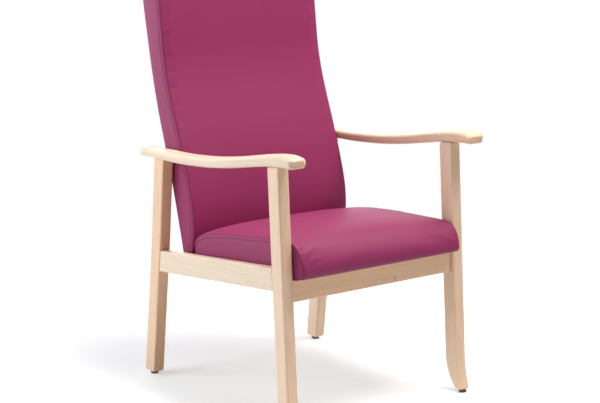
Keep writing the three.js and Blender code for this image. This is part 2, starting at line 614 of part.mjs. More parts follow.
function back() {
  const board = rearSheet(BOARD_REAR_INSET, BOARD_FRONT_INSET, BACK_TONGUE_BOTTOM_Z, BOARD_TOP_Z, BOARD_HALF_WIDTH);
  const boardRoom = rearSheet(-OVERRUN, BOARD_FRONT_INSET + GAP, BACK_TONGUE_BOTTOM_Z - OVERRUN,
    BOARD_TOP_Z + GAP, BOARD_HALF_WIDTH + GAP);
  add('back', 'back_board', board, plywood);
  const foamForm = backForm(COVER_THICKNESS + GAP, BOARD_REAR_INSET);
  add('back', 'back_foam', foamForm.subtract(boardRoom), foam);
  const cover = backForm(0, BOARD_REAR_INSET).subtract(backForm(COVER_THICKNESS, -OVERRUN));
  add('back', 'back_cover', cover.subtract(boardRoom), vinyl);
  const rearCover = rearSheet(0, REAR_COVER_THICKNESS, BACK_BOTTOM_Z, BOARD_TOP_Z, BOARD_HALF_WIDTH);
  add('back', 'rear_cover', rearCover, liningCloth);
}

// Bolts through the back board's tongue into the rear rail.
function backBolts() {
  const faceY = BACK_REAR_Y - BOARD_REAR_INSET;
  const z = seatBaseZ(REAR_RAIL_Y) - REAR_RAIL_HEIGHT / 2;
  const forward = vec(0, -1, 0);
  BOLT_SHARES.forEach((share, i) => {
    const at = vec(share * BACK_HALF_WIDTH, faceY, z);
    cut(rod(at.clone().addScaledVector(forward, -OVERRUN), at.clone().addScaledVector(forward, BOLT_LENGTH + GAP),
      BOLT_RADIUS + GAP), 'back_board', 'rear_rail');
    add('back', `back_bolt_${i + 1}`, headed(at, forward, BOLT_LENGTH, BOLT_RADIUS, BOLT_HEAD_RADIUS,
      BOLT_HEAD_HEIGHT), steel);
  });
}

// A steel angle on each side joins the rear of the back to the inner face of the rear leg.
function backBracket(side, sign) {
  const above = backRear.find((p) => p.y > BRACKET_Z);
  const below = [...backRear].reverse().find((p) => p.y < BRACKET_Z);
  const rearY = lerp(below.x, above.x, (BRACKET_Z - below.y) / (above.y - below.y));
  const lean = Math.atan2(above.x - below.x, above.y - below.y);
  const legX = LEG_INNER_X - GAP;
  const outline = [
    [legX, GAP], [legX, BRACKET_REACH], [legX - BRACKET_THICKNESS, BRACKET_REACH],
    [legX - BRACKET_THICKNESS, BRACKET_THICKNESS + GAP], [legX - BRACKET_FLANGE, BRACKET_THICKNESS + GAP],
    [legX - BRACKET_FLANGE, GAP],
  ];
  const place = new THREE.Matrix4().makeTranslation(0, rearY, BRACKET_Z)
    .multiply(new THREE.Matrix4().makeRotationX(-lean));
  const flat = block(outline.map(([x, y]) => [sign * x, y]), -BRACKET_HEIGHT / 2, BRACKET_HEIGHT / 2);
  add('back', `back_bracket_${side}`, toSolid(toGeometry(flat).applyMatrix4(place)), steel);

  const turn = new THREE.Matrix4().extractRotation(place);
  const screws = [
    ['leg', vec(legX - BRACKET_THICKNESS, (BRACKET_REACH + BRACKET_THICKNESS) / 2, 0), vec(1, 0, 0), LEG_WIDTH / 2,
      [`rear_leg_${side}`, `back_bracket_${side}`]],
    ['back', vec(legX - BRACKET_FLANGE * BRACKET_SCREW_SHARE, BRACKET_THICKNESS + GAP, 0), vec(0, -1, 0),
      BRACKET_THICKNESS + BOARD_REAR_INSET + BACK_BOARD_THICKNESS / 2,
      ['back_board', 'rear_cover', `back_bracket_${side}`]],
  ];
  for (const [where, local, toward, length, holders] of screws) {
    const at = vec(sign * local.x, local.y, local.z).applyMatrix4(place);
    const direction = vec(sign * toward.x, toward.y, toward.z).applyMatrix4(turn);
    cut(rod(at.clone().addScaledVector(direction, -OVERRUN), at.clone().addScaledVector(direction, length + GAP),
      SCREW_RADIUS + GAP), ...holders);
    add('back', `bracket_screw_${where}_${side}`, headed(at, direction, length, SCREW_RADIUS, SCREW_HEAD_RADIUS,
      SCREW_HEAD_HEIGHT), steel);
  }
}

// Assembly

for (const [side, sign] of SIDES) {
  frontLeg(side, sign);
  rearLeg(side, sign);
  glide(side, sign, 'front', FRONT_FOOT_Y + FRONT_FOOT_DEPTH / 2);
  glide(side, sign, 'rear', rearLegFrontY(GLIDE_HEIGHT) + LEG_DEPTH / 2);
  arm(side, sign);
  sideRail(side, sign);
}
crossRail('front_rail', FRONT_RAIL_Y, RAIL_HEIGHT, LEG_INNER_X - GAP);
crossRail('rear_rail', REAR_RAIL_Y, REAR_RAIL_HEIGHT, SIDE_RAIL_INNER_X - GAP);
seat();
back();
for (const [side, sign] of SIDES) {
  armDowels(side, sign);
  railDowels(side, sign);
  cornerBlock(side, sign, 'front');
  cornerBlock(side, sign, 'rear');
  backBracket(side, sign);
}
backBolts();

const chair = new THREE.Group();
chair.name = 'fireside_chair';
for (const [name, { group, solid, look }] of pieces) {
  const geometry = toGeometry(solid);
  geometry.computeBoundingBox();
  const middle = geometry.boundingBox.getCenter(vec(0, 0, 0));
  geometry.translate(-middle.x, -middle.y, -middle.z);
  const mesh = new THREE.Mesh(geometry, new THREE.MeshStandardMaterial(look));
  mesh.name = name;
  mesh.position.copy(middle);
  groups[group].add(mesh);
}
chair.add(...Object.values(groups));

const box = new THREE.Box3().setFromObject(chair);
const footprint = box.getCenter(vec(0, 0, 0));
for (const group of Object.values(groups)) {
  group.position.set(-footprint.x, -footprint.y, -box.min.z);
}

export default chair;
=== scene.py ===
"""High-back fireside chair: beech frame with open arms, domed seat and tall hollow back in magenta vinyl.

Metres, +Z up. The chair faces -Y and +X is the sitter's left. Sizes in Y are drawn from the middle of the
seat rails and moved to the frame by Y_SHIFT, which is read from the front rail's own box.
"""

import math

import bmesh
import bpy
from mathutils import Matrix, Vector
from mathutils.kdtree import KDTree


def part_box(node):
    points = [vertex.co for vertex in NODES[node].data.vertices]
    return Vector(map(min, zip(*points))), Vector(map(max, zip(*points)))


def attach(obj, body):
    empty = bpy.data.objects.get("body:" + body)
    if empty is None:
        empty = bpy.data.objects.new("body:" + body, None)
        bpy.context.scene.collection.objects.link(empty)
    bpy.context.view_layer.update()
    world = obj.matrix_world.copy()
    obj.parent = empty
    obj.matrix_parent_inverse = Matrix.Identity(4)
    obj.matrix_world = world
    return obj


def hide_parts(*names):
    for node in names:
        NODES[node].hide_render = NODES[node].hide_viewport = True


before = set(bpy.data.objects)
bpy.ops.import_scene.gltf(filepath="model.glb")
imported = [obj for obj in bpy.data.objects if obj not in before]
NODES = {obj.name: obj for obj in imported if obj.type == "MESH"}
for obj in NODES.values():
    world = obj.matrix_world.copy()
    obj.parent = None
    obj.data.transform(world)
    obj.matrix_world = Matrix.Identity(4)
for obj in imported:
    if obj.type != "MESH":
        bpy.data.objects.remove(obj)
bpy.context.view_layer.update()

SIDES = (("left", 1), ("right", -1))
LOW, HIGH = 0, 1
X, Y, Z = 0, 1, 2
MICROMETRE_DIGITS = 6


def box_edge(name, end, axis):
    """One face of a node's box, to the nearest micrometre."""
    return round(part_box(name)[end][axis], MICROMETRE_DIGITS)


# Camera, fitted to the straight edges of the frame in the photograph
IMAGE_WIDTH_PX = 600
FOCAL_PX = 1765
SENSOR_MM = 36
CAMERA_PLACE = Vector((-2.630, -3.368, 1.379))
CAMERA_TURN = math.radians(37.31)
CAMERA_PITCH = math.radians(11.87)

# Studio
AMBIENT = 0.15
COOL_WHITE = (0.92, 0.96, 1.0)
WARM_WHITE = (1.0, 0.965, 0.93)
# Name, place, size, power and colour of each soft light
LIGHTS = [
    ("side", (-3.0, 1.5, 1.3), (2.4, 2.4), 87, COOL_WHITE),
    ("top", (0.6, -0.7, 3.0), (1.6, 1.6), 108, WARM_WHITE),
    ("wall", (0.0, 3.8, 1.4), (7.0, 2.4), 85, COOL_WHITE),
]
LIGHT_AIM = Vector((0, 0, 0.5))
FLOOR_RADIUS = 3.0
FLOOR_SIDES = 64
FLOOR_LIFT = 0.38

# Legs and rails, as (y, z) where a name stands for a point
FRONT_RAIL_Y = -0.209
Y_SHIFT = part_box("front_rail")[LOW].y - FRONT_RAIL_Y
SHIFT = Vector((0, Y_SHIFT, 0))
JOINT_GAP = 0.0003
SHARP_ANGLE = math.radians(40)
RAIL_HEIGHT = 0.0545
RAIL_ROUNDING = 0.003
RAIL_ROUNDING_STEPS = 4
SIDE_RAIL_FRONT_TOP_Z = box_edge("side_rail_left", HIGH, Z)
SIDE_RAIL_REAR_TOP_Z = round(box_edge("side_rail_left", LOW, Z) + RAIL_HEIGHT, MICROMETRE_DIGITS)
LEG_DEPTH = 0.042
LEG_ROUNDING = 0.0045
LEG_ROUNDING_STEPS = 5
LEG_TOP_STEPS = 6
GLIDE_HEIGHT = box_edge("front_glide_left", HIGH, Z)
GLIDE_SIDES = 40
GLIDE_PROFILE_SHARES = [(0.72, 0), (0.92, 0.06), (1, 0.22), (1, 0.6), (0.9, 0.72), (0.9, 1)]
FOOT_ROUNDING = 0.0055
FOOT_ROWS = 6
FRONT_LEG_TOP = (-0.1995, 0.631)
FRONT_LEG_KNEE = (-0.2355, 0.092)
FRONT_FOOT_Y = round(box_edge("front_leg_left", LOW, Y) - Y_SHIFT, MICROMETRE_DIGITS)
FRONT_FOOT_DEPTH = 0.022
FRONT_FOOT_BEND_Z = 0.040
FRONT_FOOT_STEPS = 14
REAR_LEG_TOP = (0.279, 0.581)
REAR_LEG_KINK = (0.299, 0.354)
REAR_LEG_KINK_REACH = 0.02
REAR_FOOT_Y = 0.3395

# Arms
ARM_REAR_Y = 0.361
ARM_LENGTH = 0.630
ARM_LOW_TOP_Z = 0.600
ARM_RISE = 0.060
ARM_REAR_THICKNESS = 0.0205
ARM_FRONT_THICKNESS = 0.028
ARM_END_THICKNESS = 0.022
ARM_END_SHARE = 0.9
ARM_ROUNDING = 0.0085
ARM_REAR_ROUNDING = 0.013
ARM_END_ROUNDING = 0.010
ARM_END_FACE_ROUNDING = 0.0065
ARM_TIP_SHARE = 0.35
ARM_MOST_INSET_SHARE = 0.49
# Share of the length from the rear tip, share of the rise
ARM_TOP_SHARES = [
    (0, -0.05), (0.1, 0), (0.24, 0.03), (0.35, 0.1), (0.48, 0.235),
    (0.61, 0.44), (0.72, 0.66), (0.8, 0.82), (0.885, 0.96), (0.95, 1), (1, 0.93),
]
ARM_LINE_STEPS = 60
ARM_ROWS = 70
ARM_END_ROWS = 9
ARM_CORNER_STEPS = 6

# Seat cushion: its sections, along the side seam and along the middle, are shares of its depth from
# the rear and of its height
SEAT_HALF_WIDTH = box_edge("seat_cover", HIGH, X)
SEAT_REAR_Y = 0.203
SEAT_FRONT_Y = -0.253
SEAT_EDGE_HEIGHT = 0.0915
SEAT_CROWN = 0.0095
SEAT_CROWN_POWER = 3.0
SEAT_DRAW_IN = 0.003
SEAT_NOSE_DRAW_IN = 0.002
SEAT_NOSE_LEAN = 0.002
SEAT_NOSE_SHARE = 0.86
SEAT_SETTLE = 0.009
SEAT_SETTLE_START_SHARE = 0.5
SEAT_SETTLE_FAR_START_SHARE = 0.1
SEAT_SETTLE_END_SHARE = 0.85
SEAT_ROLL = 0.016
SEAT_ROLL_SHARE = 0.16
SEAT_BACK_GAP = 0.0008
SEAT_SEAM_LENGTH = 0.62
SEAT_SECTION_STEPS = 98
SEAT_EDGE_SHARES = [
    (0.01, 0), (0.002, 0.22), (0.012, 0.5), (0.05, 0.73), (0.115, 0.86), (0.24, 0.95), (0.43, 1),
    (0.6, 0.99), (0.78, 0.96), (0.885, 0.92), (0.95, 0.79), (0.985, 0.54), (1, 0.25), (0.992, 0.05),
    (0.95, 0),
]
SEAT_MIDDLE_SHARES = [
    (0.005, 0), (0, 0.34), (0.002, 0.78), (0.02, 0.84), (0.1, 0.9), (0.24, 0.96), (0.43, 1),
    (0.6, 0.99), (0.78, 0.93), (0.885, 0.82), (0.95, 0.64), (0.985, 0.4), (1, 0.2), (0.992, 0.04),
    (0.95, 0),
]

# Back: its two long lines, as shares of its height and of its lean
BACK_HALF_WIDTH = box_edge("back_cover", HIGH, X)
BACK_BOTTOM_Z = box_edge("back_cover", LOW, Z)
BACK_TOP_Z = box_edge("back_cover", HIGH, Z)
BACK_CORNER_RADIUS = 0.042
BACK_HOLLOW = 0.009
BACK_ROLL = 0.045
BACK_ROLL_SHARE = 0.08
BACK_FRONT_Y = 0.205
BACK_REAR_Y = 0.251
BACK_LEAN = 0.150
BACK_REAR_LEAN = 0.190
BACK_LINE_STEPS = 90
BACK_ROWS = 92
BACK_FRONT_SHARES = [
    (0, 0), (0.08, -0.055), (0.165, -0.015), (0.268, 0.14), (0.367, 0.327), (0.448, 0.493),
    (0.535, 0.653), (0.618, 0.76), (0.72, 0.833), (0.804, 0.887), (0.9, 0.935), (1, 0.975),
]
BACK_REAR_SHARES = [
    (0, 0), (0.055, 0.06), (0.21, 0.24), (0.344, 0.42), (0.4, 0.5), (0.479, 0.6),
    (0.573, 0.7), (0.68, 0.795), (0.797, 0.89), (0.9, 0.95), (1, 0.995),
]

# Rear panel of the back: distances of its points from its edge, and its folded edge
REAR_EDGE_STEPS = [0, 0.0004, 0.0012, 0.0026, 0.005, 0.009, 0.016, 0.03, 0.06, 0.11, 0.17]
REAR_EDGE_ROWS = 7
REAR_EDGE_REACH = 0.03
REAR_ROWS = 60
REAR_PANEL_SINK = 0.0014
REAR_PANEL_THICKNESS = 0.0012
REAR_FOLD_HEIGHT = 0.0016
REAR_FOLD_WIDTH = 0.0015
REAR_PUCKER_SHARE = 0.4
REAR_PUCKER_SIDE = 0.05

# Covers and seams
COVER_THICKNESS = 0.0016
TURN_IN_LAP = 0.012
MERGE_DISTANCE = 0.00002
SEAM_DEPTH = 0.0015
SEAM_WIDTH = 0.0018
# Painted shade: how dark and how wide a line is painted along each seam
SEAM_SHADE_SHARE = 0.4
SEAM_SHADE_WIDTH = 1.1 * SEAM_WIDTH
TOPSTITCH_OFFSET = 0.009
TOPSTITCH_DEPTH = 0.0013
TOPSTITCH_WIDTH = 0.0016
# Painted shade beside the row of stitches: how dark and how wide
TOPSTITCH_SHADE_SHARE = 0.35
TOPSTITCH_SHADE_WIDTH = 0.9 * TOPSTITCH_WIDTH
# Layer that carries each point's painted seam shade
PAINTED_SHADE_LAYER = "painted_seam_shade_mask"
BOXING_BULGE = 0.0020
BOXING_REAR_ROUNDING = 0.009
BOXING_REAR_ROUNDING_SHARE = 0.6
BOXING_SEAM_SHARE = 0.5
BOXING_TAPER = 0.030
BOXING_SWELL = 0.015

# Distances of the panels' points from the seam
PANEL_STEPS = [0, 0.0006, 0.0013, 0.0022, 0.0035, 0.0055, 0.008, 0.011, 0.015, 0.020, 0.027, 0.036, 0.048]
PANEL_STEPS += [0.066, 0.090, 0.120, 0.155, 0.195]
LEAST_PANEL_STEP = 0.002

# The same for the boxing, closest at its row of stitches, then shares of the rest of its width
BOXING_STEPS = [0.0006, 0.0013, 0.0022, 0.0035, 0.0055, 0.007, 0.008, 0.0086, 0.0092, 0.0098, 0.0106, 0.012]
BOXING_REST_SHARES = [0.15, 0.35, 0.55, 0.75, 0.9, 0.97, 1]
BOXING_ROWS = len(BOXING_STEPS) + len(BOXING_REST_SHARES)
STITCH_ROW = 9

# Stitches: a station's place as a share of half a stitch, its radius and lift as shares of the radius
STITCH_LENGTH = 0.0034
STITCH_PITCH = 0.0048
STITCH_RADIUS = 0.00035
STITCH_SIDES = 6
STITCH_SHARES = ((-1, 0.35, -0.8), (-0.6, 1, 0.2), (0, 1.1, 0.5), (0.6, 1, 0.2), (1, 0.35, -0.8))
BACK_STITCH_START = 0.02
BACK_STITCH_STEPS = 100
BACK_STITCH_TURN_STEPS = 12

# Puckers: two waves along the seam that fade into the panel
PUCKER_DEPTH = 0.0003
PUCKER_REACH = 0.020
PUCKER_START = 0.004
PUCKER_FADE_POWER = 1.4
PUCKER_LONG_WAVE = 0.037
PUCKER_SHORT_WAVE = 0.0213
PUCKER_SHORT_SHARE = 0.6
PUCKER_SHORT_PHASE = 2.1
BACK_PUCKER_SIDE = 0.2
# Phase of the waves in the middle of a panel and how far it differs at each side
BACK_PUCKER_PHASES = (1.0, 0.7)
SEAT_PUCKER_PHASES = (0.3, 0.5)
REAR_PUCKER_PHASE = 0.4

# Filling: pressure is Blender's own, growth below zero makes the cloth larger than its shape
FILL_VOXEL = 0.006
FILL_PRESSURE = 4.0
FILL_GROWTH = -0.003
FILL_FRAMES = 20
FILL_QUALITY = 3
FILL_TRAVEL = 0.0022
FILL_PIN_BAND = 0.007
FILL_REAR_PIN_BAND = 2 * FILL_PIN_BAND
FILL_NEIGHBOURS = 5
FILL_SOFTENING = FILL_VOXEL / 4
FILL_SEAT_FADE = 0.05
FILL_BACK_FADE = 4 * FILL_SEAT_FADE


# Small helpers

def lerp(a, b, share):
    return a + (b - a) * share


def clamp(value):
    return min(1, max(0, value))


def evenly(a, b, count):
    """Values from a to b in this many even steps."""
    return [lerp(a, b, k / count) for k in range(count + 1)]


def mirrored(outer):
    """Places on one side of the chair, its middle, and the same on the other side."""
    return [-x for x in outer] + [0.0] + list(reversed(outer))


def spline(points, count):
    """The uniform Catmull-Rom curve through the points."""
    result = []
    last = len(points) - 1
    for step in range(count + 1):
        place = last * step / count
        k = min(int(place), last - 1)
        t = place - k
        corners = (points[max(k - 1, 0)], points[k], points[k + 1], points[min(k + 2, last)])
        result.append(tuple(catmull_rom(*values, t) for values in zip(*corners)))
    return result


def catmull_rom(a, b, c, d, t):
    """A value at t between b and c on the curve through all four."""
    bend = 2 * a - 5 * b + 4 * c - d
    twist = 3 * b - a - 3 * c + d
    return 0.5 * (2 * b + (c - a) * t + bend * t * t + twist * t ** 3)


def at(line, key, index=0):
    """The other coordinate of a line of 2-D points where one is key."""
    pairs = sorted((p[index], p[1 - index]) for p in line)
    if key <= pairs[0][0]:
        return pairs[0][1]
    for (a, u), (b, v) in zip(pairs, pairs[1:]):
        if key <= b:
            return lerp(u, v, (key - a) / (b - a)) if b > a else v
    return pairs[-1][1]


def bezier(start, bend, end, count):
    return [
        tuple((1 - t) ** 2 * a + 2 * t * (1 - t) * b + t * t * c for a, b, c in zip(start, bend, end))
        for t in evenly(0, 1, count)
    ]


def quarter_inset(distance, radius):
    """How far a quarter round draws a face in, at a distance from its end."""
    left = radius - min(radius, max(0, distance))
    return radius - math.sqrt(radius ** 2 - left ** 2)


def add_object(name, data):
    thing = bpy.data.objects.new(name, data)
    bpy.context.scene.collection.objects.link(thing)
    return thing


def mesh_object(name, bm):
    mesh = bpy.data.meshes.new(name)
    bm.to_mesh(mesh)
    bm.free()
    return add_object(name, mesh)


def new_piece(name, bm, material, *nodes):
    """A smooth piece, moved into the frame and riding on the chair."""
    bmesh.ops.recalc_face_normals(bm, faces=bm.faces)
    piece = mesh_object(name, bm)
    piece.data.transform(Matrix.Translation(SHIFT))
    piece.data.materials.append(material)
    for face in piece.data.polygons:
        face.use_smooth = True
    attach(piece, "root")
    if nodes:
        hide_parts(*nodes)
    return piece


def apply_modifiers(piece):
    depsgraph = bpy.context.evaluated_depsgraph_get()
    mesh = bpy.data.meshes.new_from_object(piece.evaluated_get(depsgraph))
    piece.modifiers.clear()
    piece.data = mesh


def soften_normals(piece):
    modifier = piece.modifiers.new("normals", "WEIGHTED_NORMAL")
    modifier.keep_sharp = True
    apply_modifiers(piece)


def smooth_once(piece):
    modifier = piece.modifiers.new("smooth", "SUBSURF")
    modifier.levels = 1
    modifier.render_levels = 1
    apply_modifiers(piece)


def sharp_edges(bm):
    return [e for e in bm.edges if len(e.link_faces) == 2 and e.calc_face_angle(0) > SHARP_ANGLE]


def round_edges(bm, edges, radius, steps):
    bmesh.ops.bevel(
        bm, geom=edges, offset=radius, segments=steps, profile=0.5, affect="EDGES", clamp_overlap=True)


def prism(outline, from_x, to_x):
    """A bar along X with the given outline of (y, z) points."""
    bm = bmesh.new()
    ends = []
    for x in (from_x, to_x):
        ends.append([bm.verts.new((x, y, z)) for y, z in outline])
    bm.faces.new(ends[0])
    bm.faces.new(ends[1])
    for k in range(len(outline)):
        j = (k + 1) % len(outline)
        bm.faces.new((ends[0][k], ends[0][j], ends[1][j], ends[1][k]))
    bmesh.ops.recalc_face_normals(bm, faces=bm.faces)
    return bm


def tube_faces(bm, rings):
    """Joins closed rings of points into a tube and closes both its ends."""
    sides = len(rings[0])
    for one, other in zip(rings, rings[1:]):
        for k in range(sides):
            j = (k + 1) % sides
            bm.faces.new((one[k], one[j], other[j], other[k]))
    bm.faces.new(rings[0])
    bm.faces.new(rings[-1])


def circle(bm, centre, radius, sides):
    """New points on a level circle."""
    angles = [2 * math.pi * k / sides for k in range(sides)]
    return [bm.verts.new(centre + Vector((math.cos(a), math.sin(a), 0)) * radius) for a in angles]


def grid_faces(bm, grid):
    """Joins rows of points into an open sheet."""
    for a, b in zip(grid, grid[1:]):
        for k in range(len(a) - 1):
            bm.faces.new((a[k], a[k + 1], b[k + 1], b[k]))


def rgba(value):
    """A colour with full cover; anything else stays as it is."""
    is_color = isinstance(value, tuple) and len(value) == 3
    return (*value, 1) if is_color else value


# Colours, in linear light

WHITE = (1, 1, 1)
BLACK = (0, 0, 0)
FLOOR_COLOR = (0.78, 0.8, 0.82)
FLOOR_FADE_STOPS = [(0.22, BLACK), (0.6, WHITE)]
# Two tones for each board, the paler first
BEECH_UPRIGHT_TONES = ((0.82, 0.63, 0.47), (0.75, 0.53, 0.37))
BEECH_LENGTHWAYS_TONES = ((0.79, 0.65, 0.50), (0.73, 0.57, 0.43))
# Painted light: the front rail's tones are warmer and brighter than the other boards, to make up for the dim
# light under the seat's overhang
BEECH_CROSSWAYS_PAINTED_LIGHT_TONES = ((0.96, 0.645, 0.41), (0.91, 0.57, 0.345))
# Painted light: a warmer copy of the arm beech for the far arm, standing in for light on its shaded inner
# side
BEECH_FAR_ARM_PAINTED_LIGHT_TONES = ((0.82, 0.61, 0.44), (0.76, 0.54, 0.37))
BEECH_DARKER_TONES = ((0.79, 0.56, 0.38), (0.71, 0.47, 0.30))
BEECH_BARE_TONES = ((0.75, 0.53, 0.37), (0.60, 0.40, 0.23))
BEECH_FLECK = (0.52, 0.30, 0.16)
BEECH_END = (0.50, 0.31, 0.17)
BEECH_KNOT = (0.46, 0.27, 0.11)
# Painted light: faces toward ±Y are made this much warmer and lighter, standing in for the warm front light
PAINTED_FRONT_LIGHT_TINT = (1.12, 1.05, 1.0)
VINYL_TONES = ((0.272, 0.0190, 0.098), (0.243, 0.0155, 0.087))
REAR_VINYL_TONES = ((0.243, 0.0155, 0.087), (0.30, 0.027, 0.105))
# Painted shade: the dark colour painted into the vinyl along its seams and rows of stitches
PAINTED_SEAM_SHADE_COLOR = (0.050, 0.004, 0.018)
THREAD = (0.30, 0.03, 0.11)
FOAM_TONES = ((0.62, 0.56, 0.38), (0.78, 0.72, 0.52))

# Grain: scale, detail and roughness of each noise, how far it is stretched, and heights of the bumps
BEECH_FIGURE = (38, 4, 0.6)
BEECH_BANDS = (150, 3, 0.55)
BEECH_BROAD = (5, 2, 0.5)
BEECH_FLECKS = (950, 1, 0.4)
BEECH_GRAIN_STRETCH = 0.05
BEECH_FLECK_STRETCH = 0.12
BEECH_FIGURE_SHARES = (0.05, 0.95)
BEECH_BROAD_SHARES = (-0.2, 0.5)
BEECH_LINE_STOPS = [(0.35, (0.90, 0.87, 0.83)), (0.6, WHITE)]
BEECH_LINE_SHARE = 0.7
BEECH_FLECK_STOPS = [(0.66, BLACK), (0.72, WHITE)]
BEECH_FLECK_SHARE = 0.38
BEECH_END_POWER = 8.0
BEECH_END_SHARE = 0.4
BEECH_BAND_HEIGHT = 0.00012
BEECH_FLECK_HEIGHT = 0.00005
BEECH_ROUGHNESS_RANGE = (0.37, 0.50)
BARE_ROUGHNESS_RANGE = (0.55, 0.68)
KNOT = (0.066, FRONT_RAIL_Y + Y_SHIFT, 0.318)
KNOT_RADIUS = 0.0042
KNOT_STRETCH = (0.6, 1.0, 1.0)
KNOT_STOPS = [(0.25, (0.8, 0.8, 0.8)), (1.0, BLACK)]
VINYL_BROAD = (9, 3)
VINYL_GRAIN = (1400, 2)
VINYL_SLACK = (26, 2)
VINYL_PIT_SCALE = 780.0
VINYL_PIT_STOPS = [(0.0, WHITE), (0.55, (0.55, 0.55, 0.55)), (0.9, BLACK)]
VINYL_PIT_SHARE = 0.08
VINYL_GRAIN_SHARE = 0.3
VINYL_TONE_SHARES = (0.1, 0.9)
VINYL_SLACK_HEIGHT = 0.0009
VINYL_SLACK_SHARE = 0.5
VINYL_GRAIN_HEIGHT = 0.00012
VINYL_GRAIN_BUMP_SHARE = 0.8
VINYL_ROUGHNESS_RANGE = (0.51, 0.59)
REAR_VINYL_ROUGHNESS_RANGE = (0.47, 0.55)
# How far the painted seam shade darkens the vinyl
PAINTED_SEAM_SHADE_STRENGTH = 0.5
# Specular level of the open cloth and of the cloth under the painted seam shade, whose gloss it dims
VINYL_SPECULAR_RANGE = (0.38, 0.05)
TWIST_SCALE = 1800.0
TWIST_HEIGHT = 0.0001
# Plainer materials: tones, noise of the tones, noise of the grain, range of roughness, height of the grain
GLIDE_LOOK = (((0.055, 0.040, 0.030), (0.030, 0.024, 0.020)), (60, 3), (900, 2), (0.38, 0.55), 0.0001)
ZINC_LOOK = (
    ((0.62, 0.62, 0.60), (0.50, 0.51, 0.53)), (45, 2), (500, 3, 0.6, (1, 1, 0.1)), (0.28, 0.45), 0.00005)
PLY_LOOK = (
    ((0.66, 0.46, 0.26), (0.52, 0.33, 0.17)), (30, 4, 0.6, (1, 1, 0.06)), (700, 2, 0.5, (1, 1, 0.1)),
    (0.6, 0.8), 0.0001, (0.1, 0.9))
FOAM_CELL_SCALE = 600.0
FOAM_CELL_HEIGHT = 0.0004


# Materials

class Shader:
    """A material's node tree with short ways to add nodes and link them."""

    def __init__(self, name):
        self.material = bpy.data.materials.new(name)
        self.material.use_nodes = True
        self.nodes = self.material.node_tree.nodes
        self.links = self.material.node_tree.links
        self.surface = self.nodes["Principled BSDF"]
        self.place = self.add("TexCoord").outputs["Object"]

    def add(self, kind, inputs=None, **settings):
        node = self.nodes.new("ShaderNode" + kind)
        for key, value in settings.items():
            setattr(node, key, value)
        for key, value in (inputs or {}).items():
            self.feed(node.inputs[key], value)
        return node

    def feed(self, socket, value):
        if isinstance(value, bpy.types.NodeSocket):
            self.links.new(value, socket)
        else:
            socket.default_value = value

    def scaled(self, scale):
        return self.add("Mapping", {"Vector": self.place, "Scale": scale}).outputs["Vector"]

    def noise(self, scale, detail, roughness=0.5, stretch=(1, 1, 1)):
        inputs = {"Vector": self.scaled(stretch), "Scale": scale, "Detail": detail, "Roughness": roughness}
        return self.add("TexNoise", inputs).outputs["Fac"]

    def ramp(self, value, stops):
        node = self.add("ValToRGB", {"Fac": value})
        ramp = node.color_ramp
        while len(ramp.elements) < len(stops):
            ramp.elements.new(1.0)
        for element, (place, color) in zip(ramp.elements, stops):
            element.position = place
            element.color = rgba(color)
        return node.outputs["Color"]

    def mix(self, share, a, b, blend="MIX"):
        """A mix of two colours. The node's colour sockets are its seventh and eighth inputs."""
        node = self.add("Mix", data_type="RGBA", blend_type=blend)
        self.feed(node.inputs["Factor"], share)
        self.feed(node.inputs[6], rgba(a))
        self.feed(node.inputs[7], rgba(b))
        return node.outputs[2]

    def math(self, operation, a, b=0.0):
        return self.add("Math", {0: a, 1: b}, operation=operation).outputs[0]

    def vector(self, operation, *values):
        return self.add("VectorMath", dict(enumerate(values)), operation=operation).outputs

    def between(self, value, low, high):
        node = self.add("MapRange", {"Value": value, "To Min": low, "To Max": high})
        return node.outputs["Result"]

    def bump(self, height, distance, strength=1.0, below=None):
        inputs = {"Height": height, "Distance": distance, "Strength": strength}
        if below is not None:
            inputs["Normal"] = below
        return self.add("Bump", inputs).outputs["Normal"]

    def set(self, **sockets):
        for key, value in sockets.items():
            self.feed(self.surface.inputs[key.replace("_", " ")], rgba(value))


def stretched_along(axis, stretch):
    """A scale that draws a noise out along one axis."""
    scale = [1.0, 1.0, 1.0]
    scale[axis] = stretch
    return scale


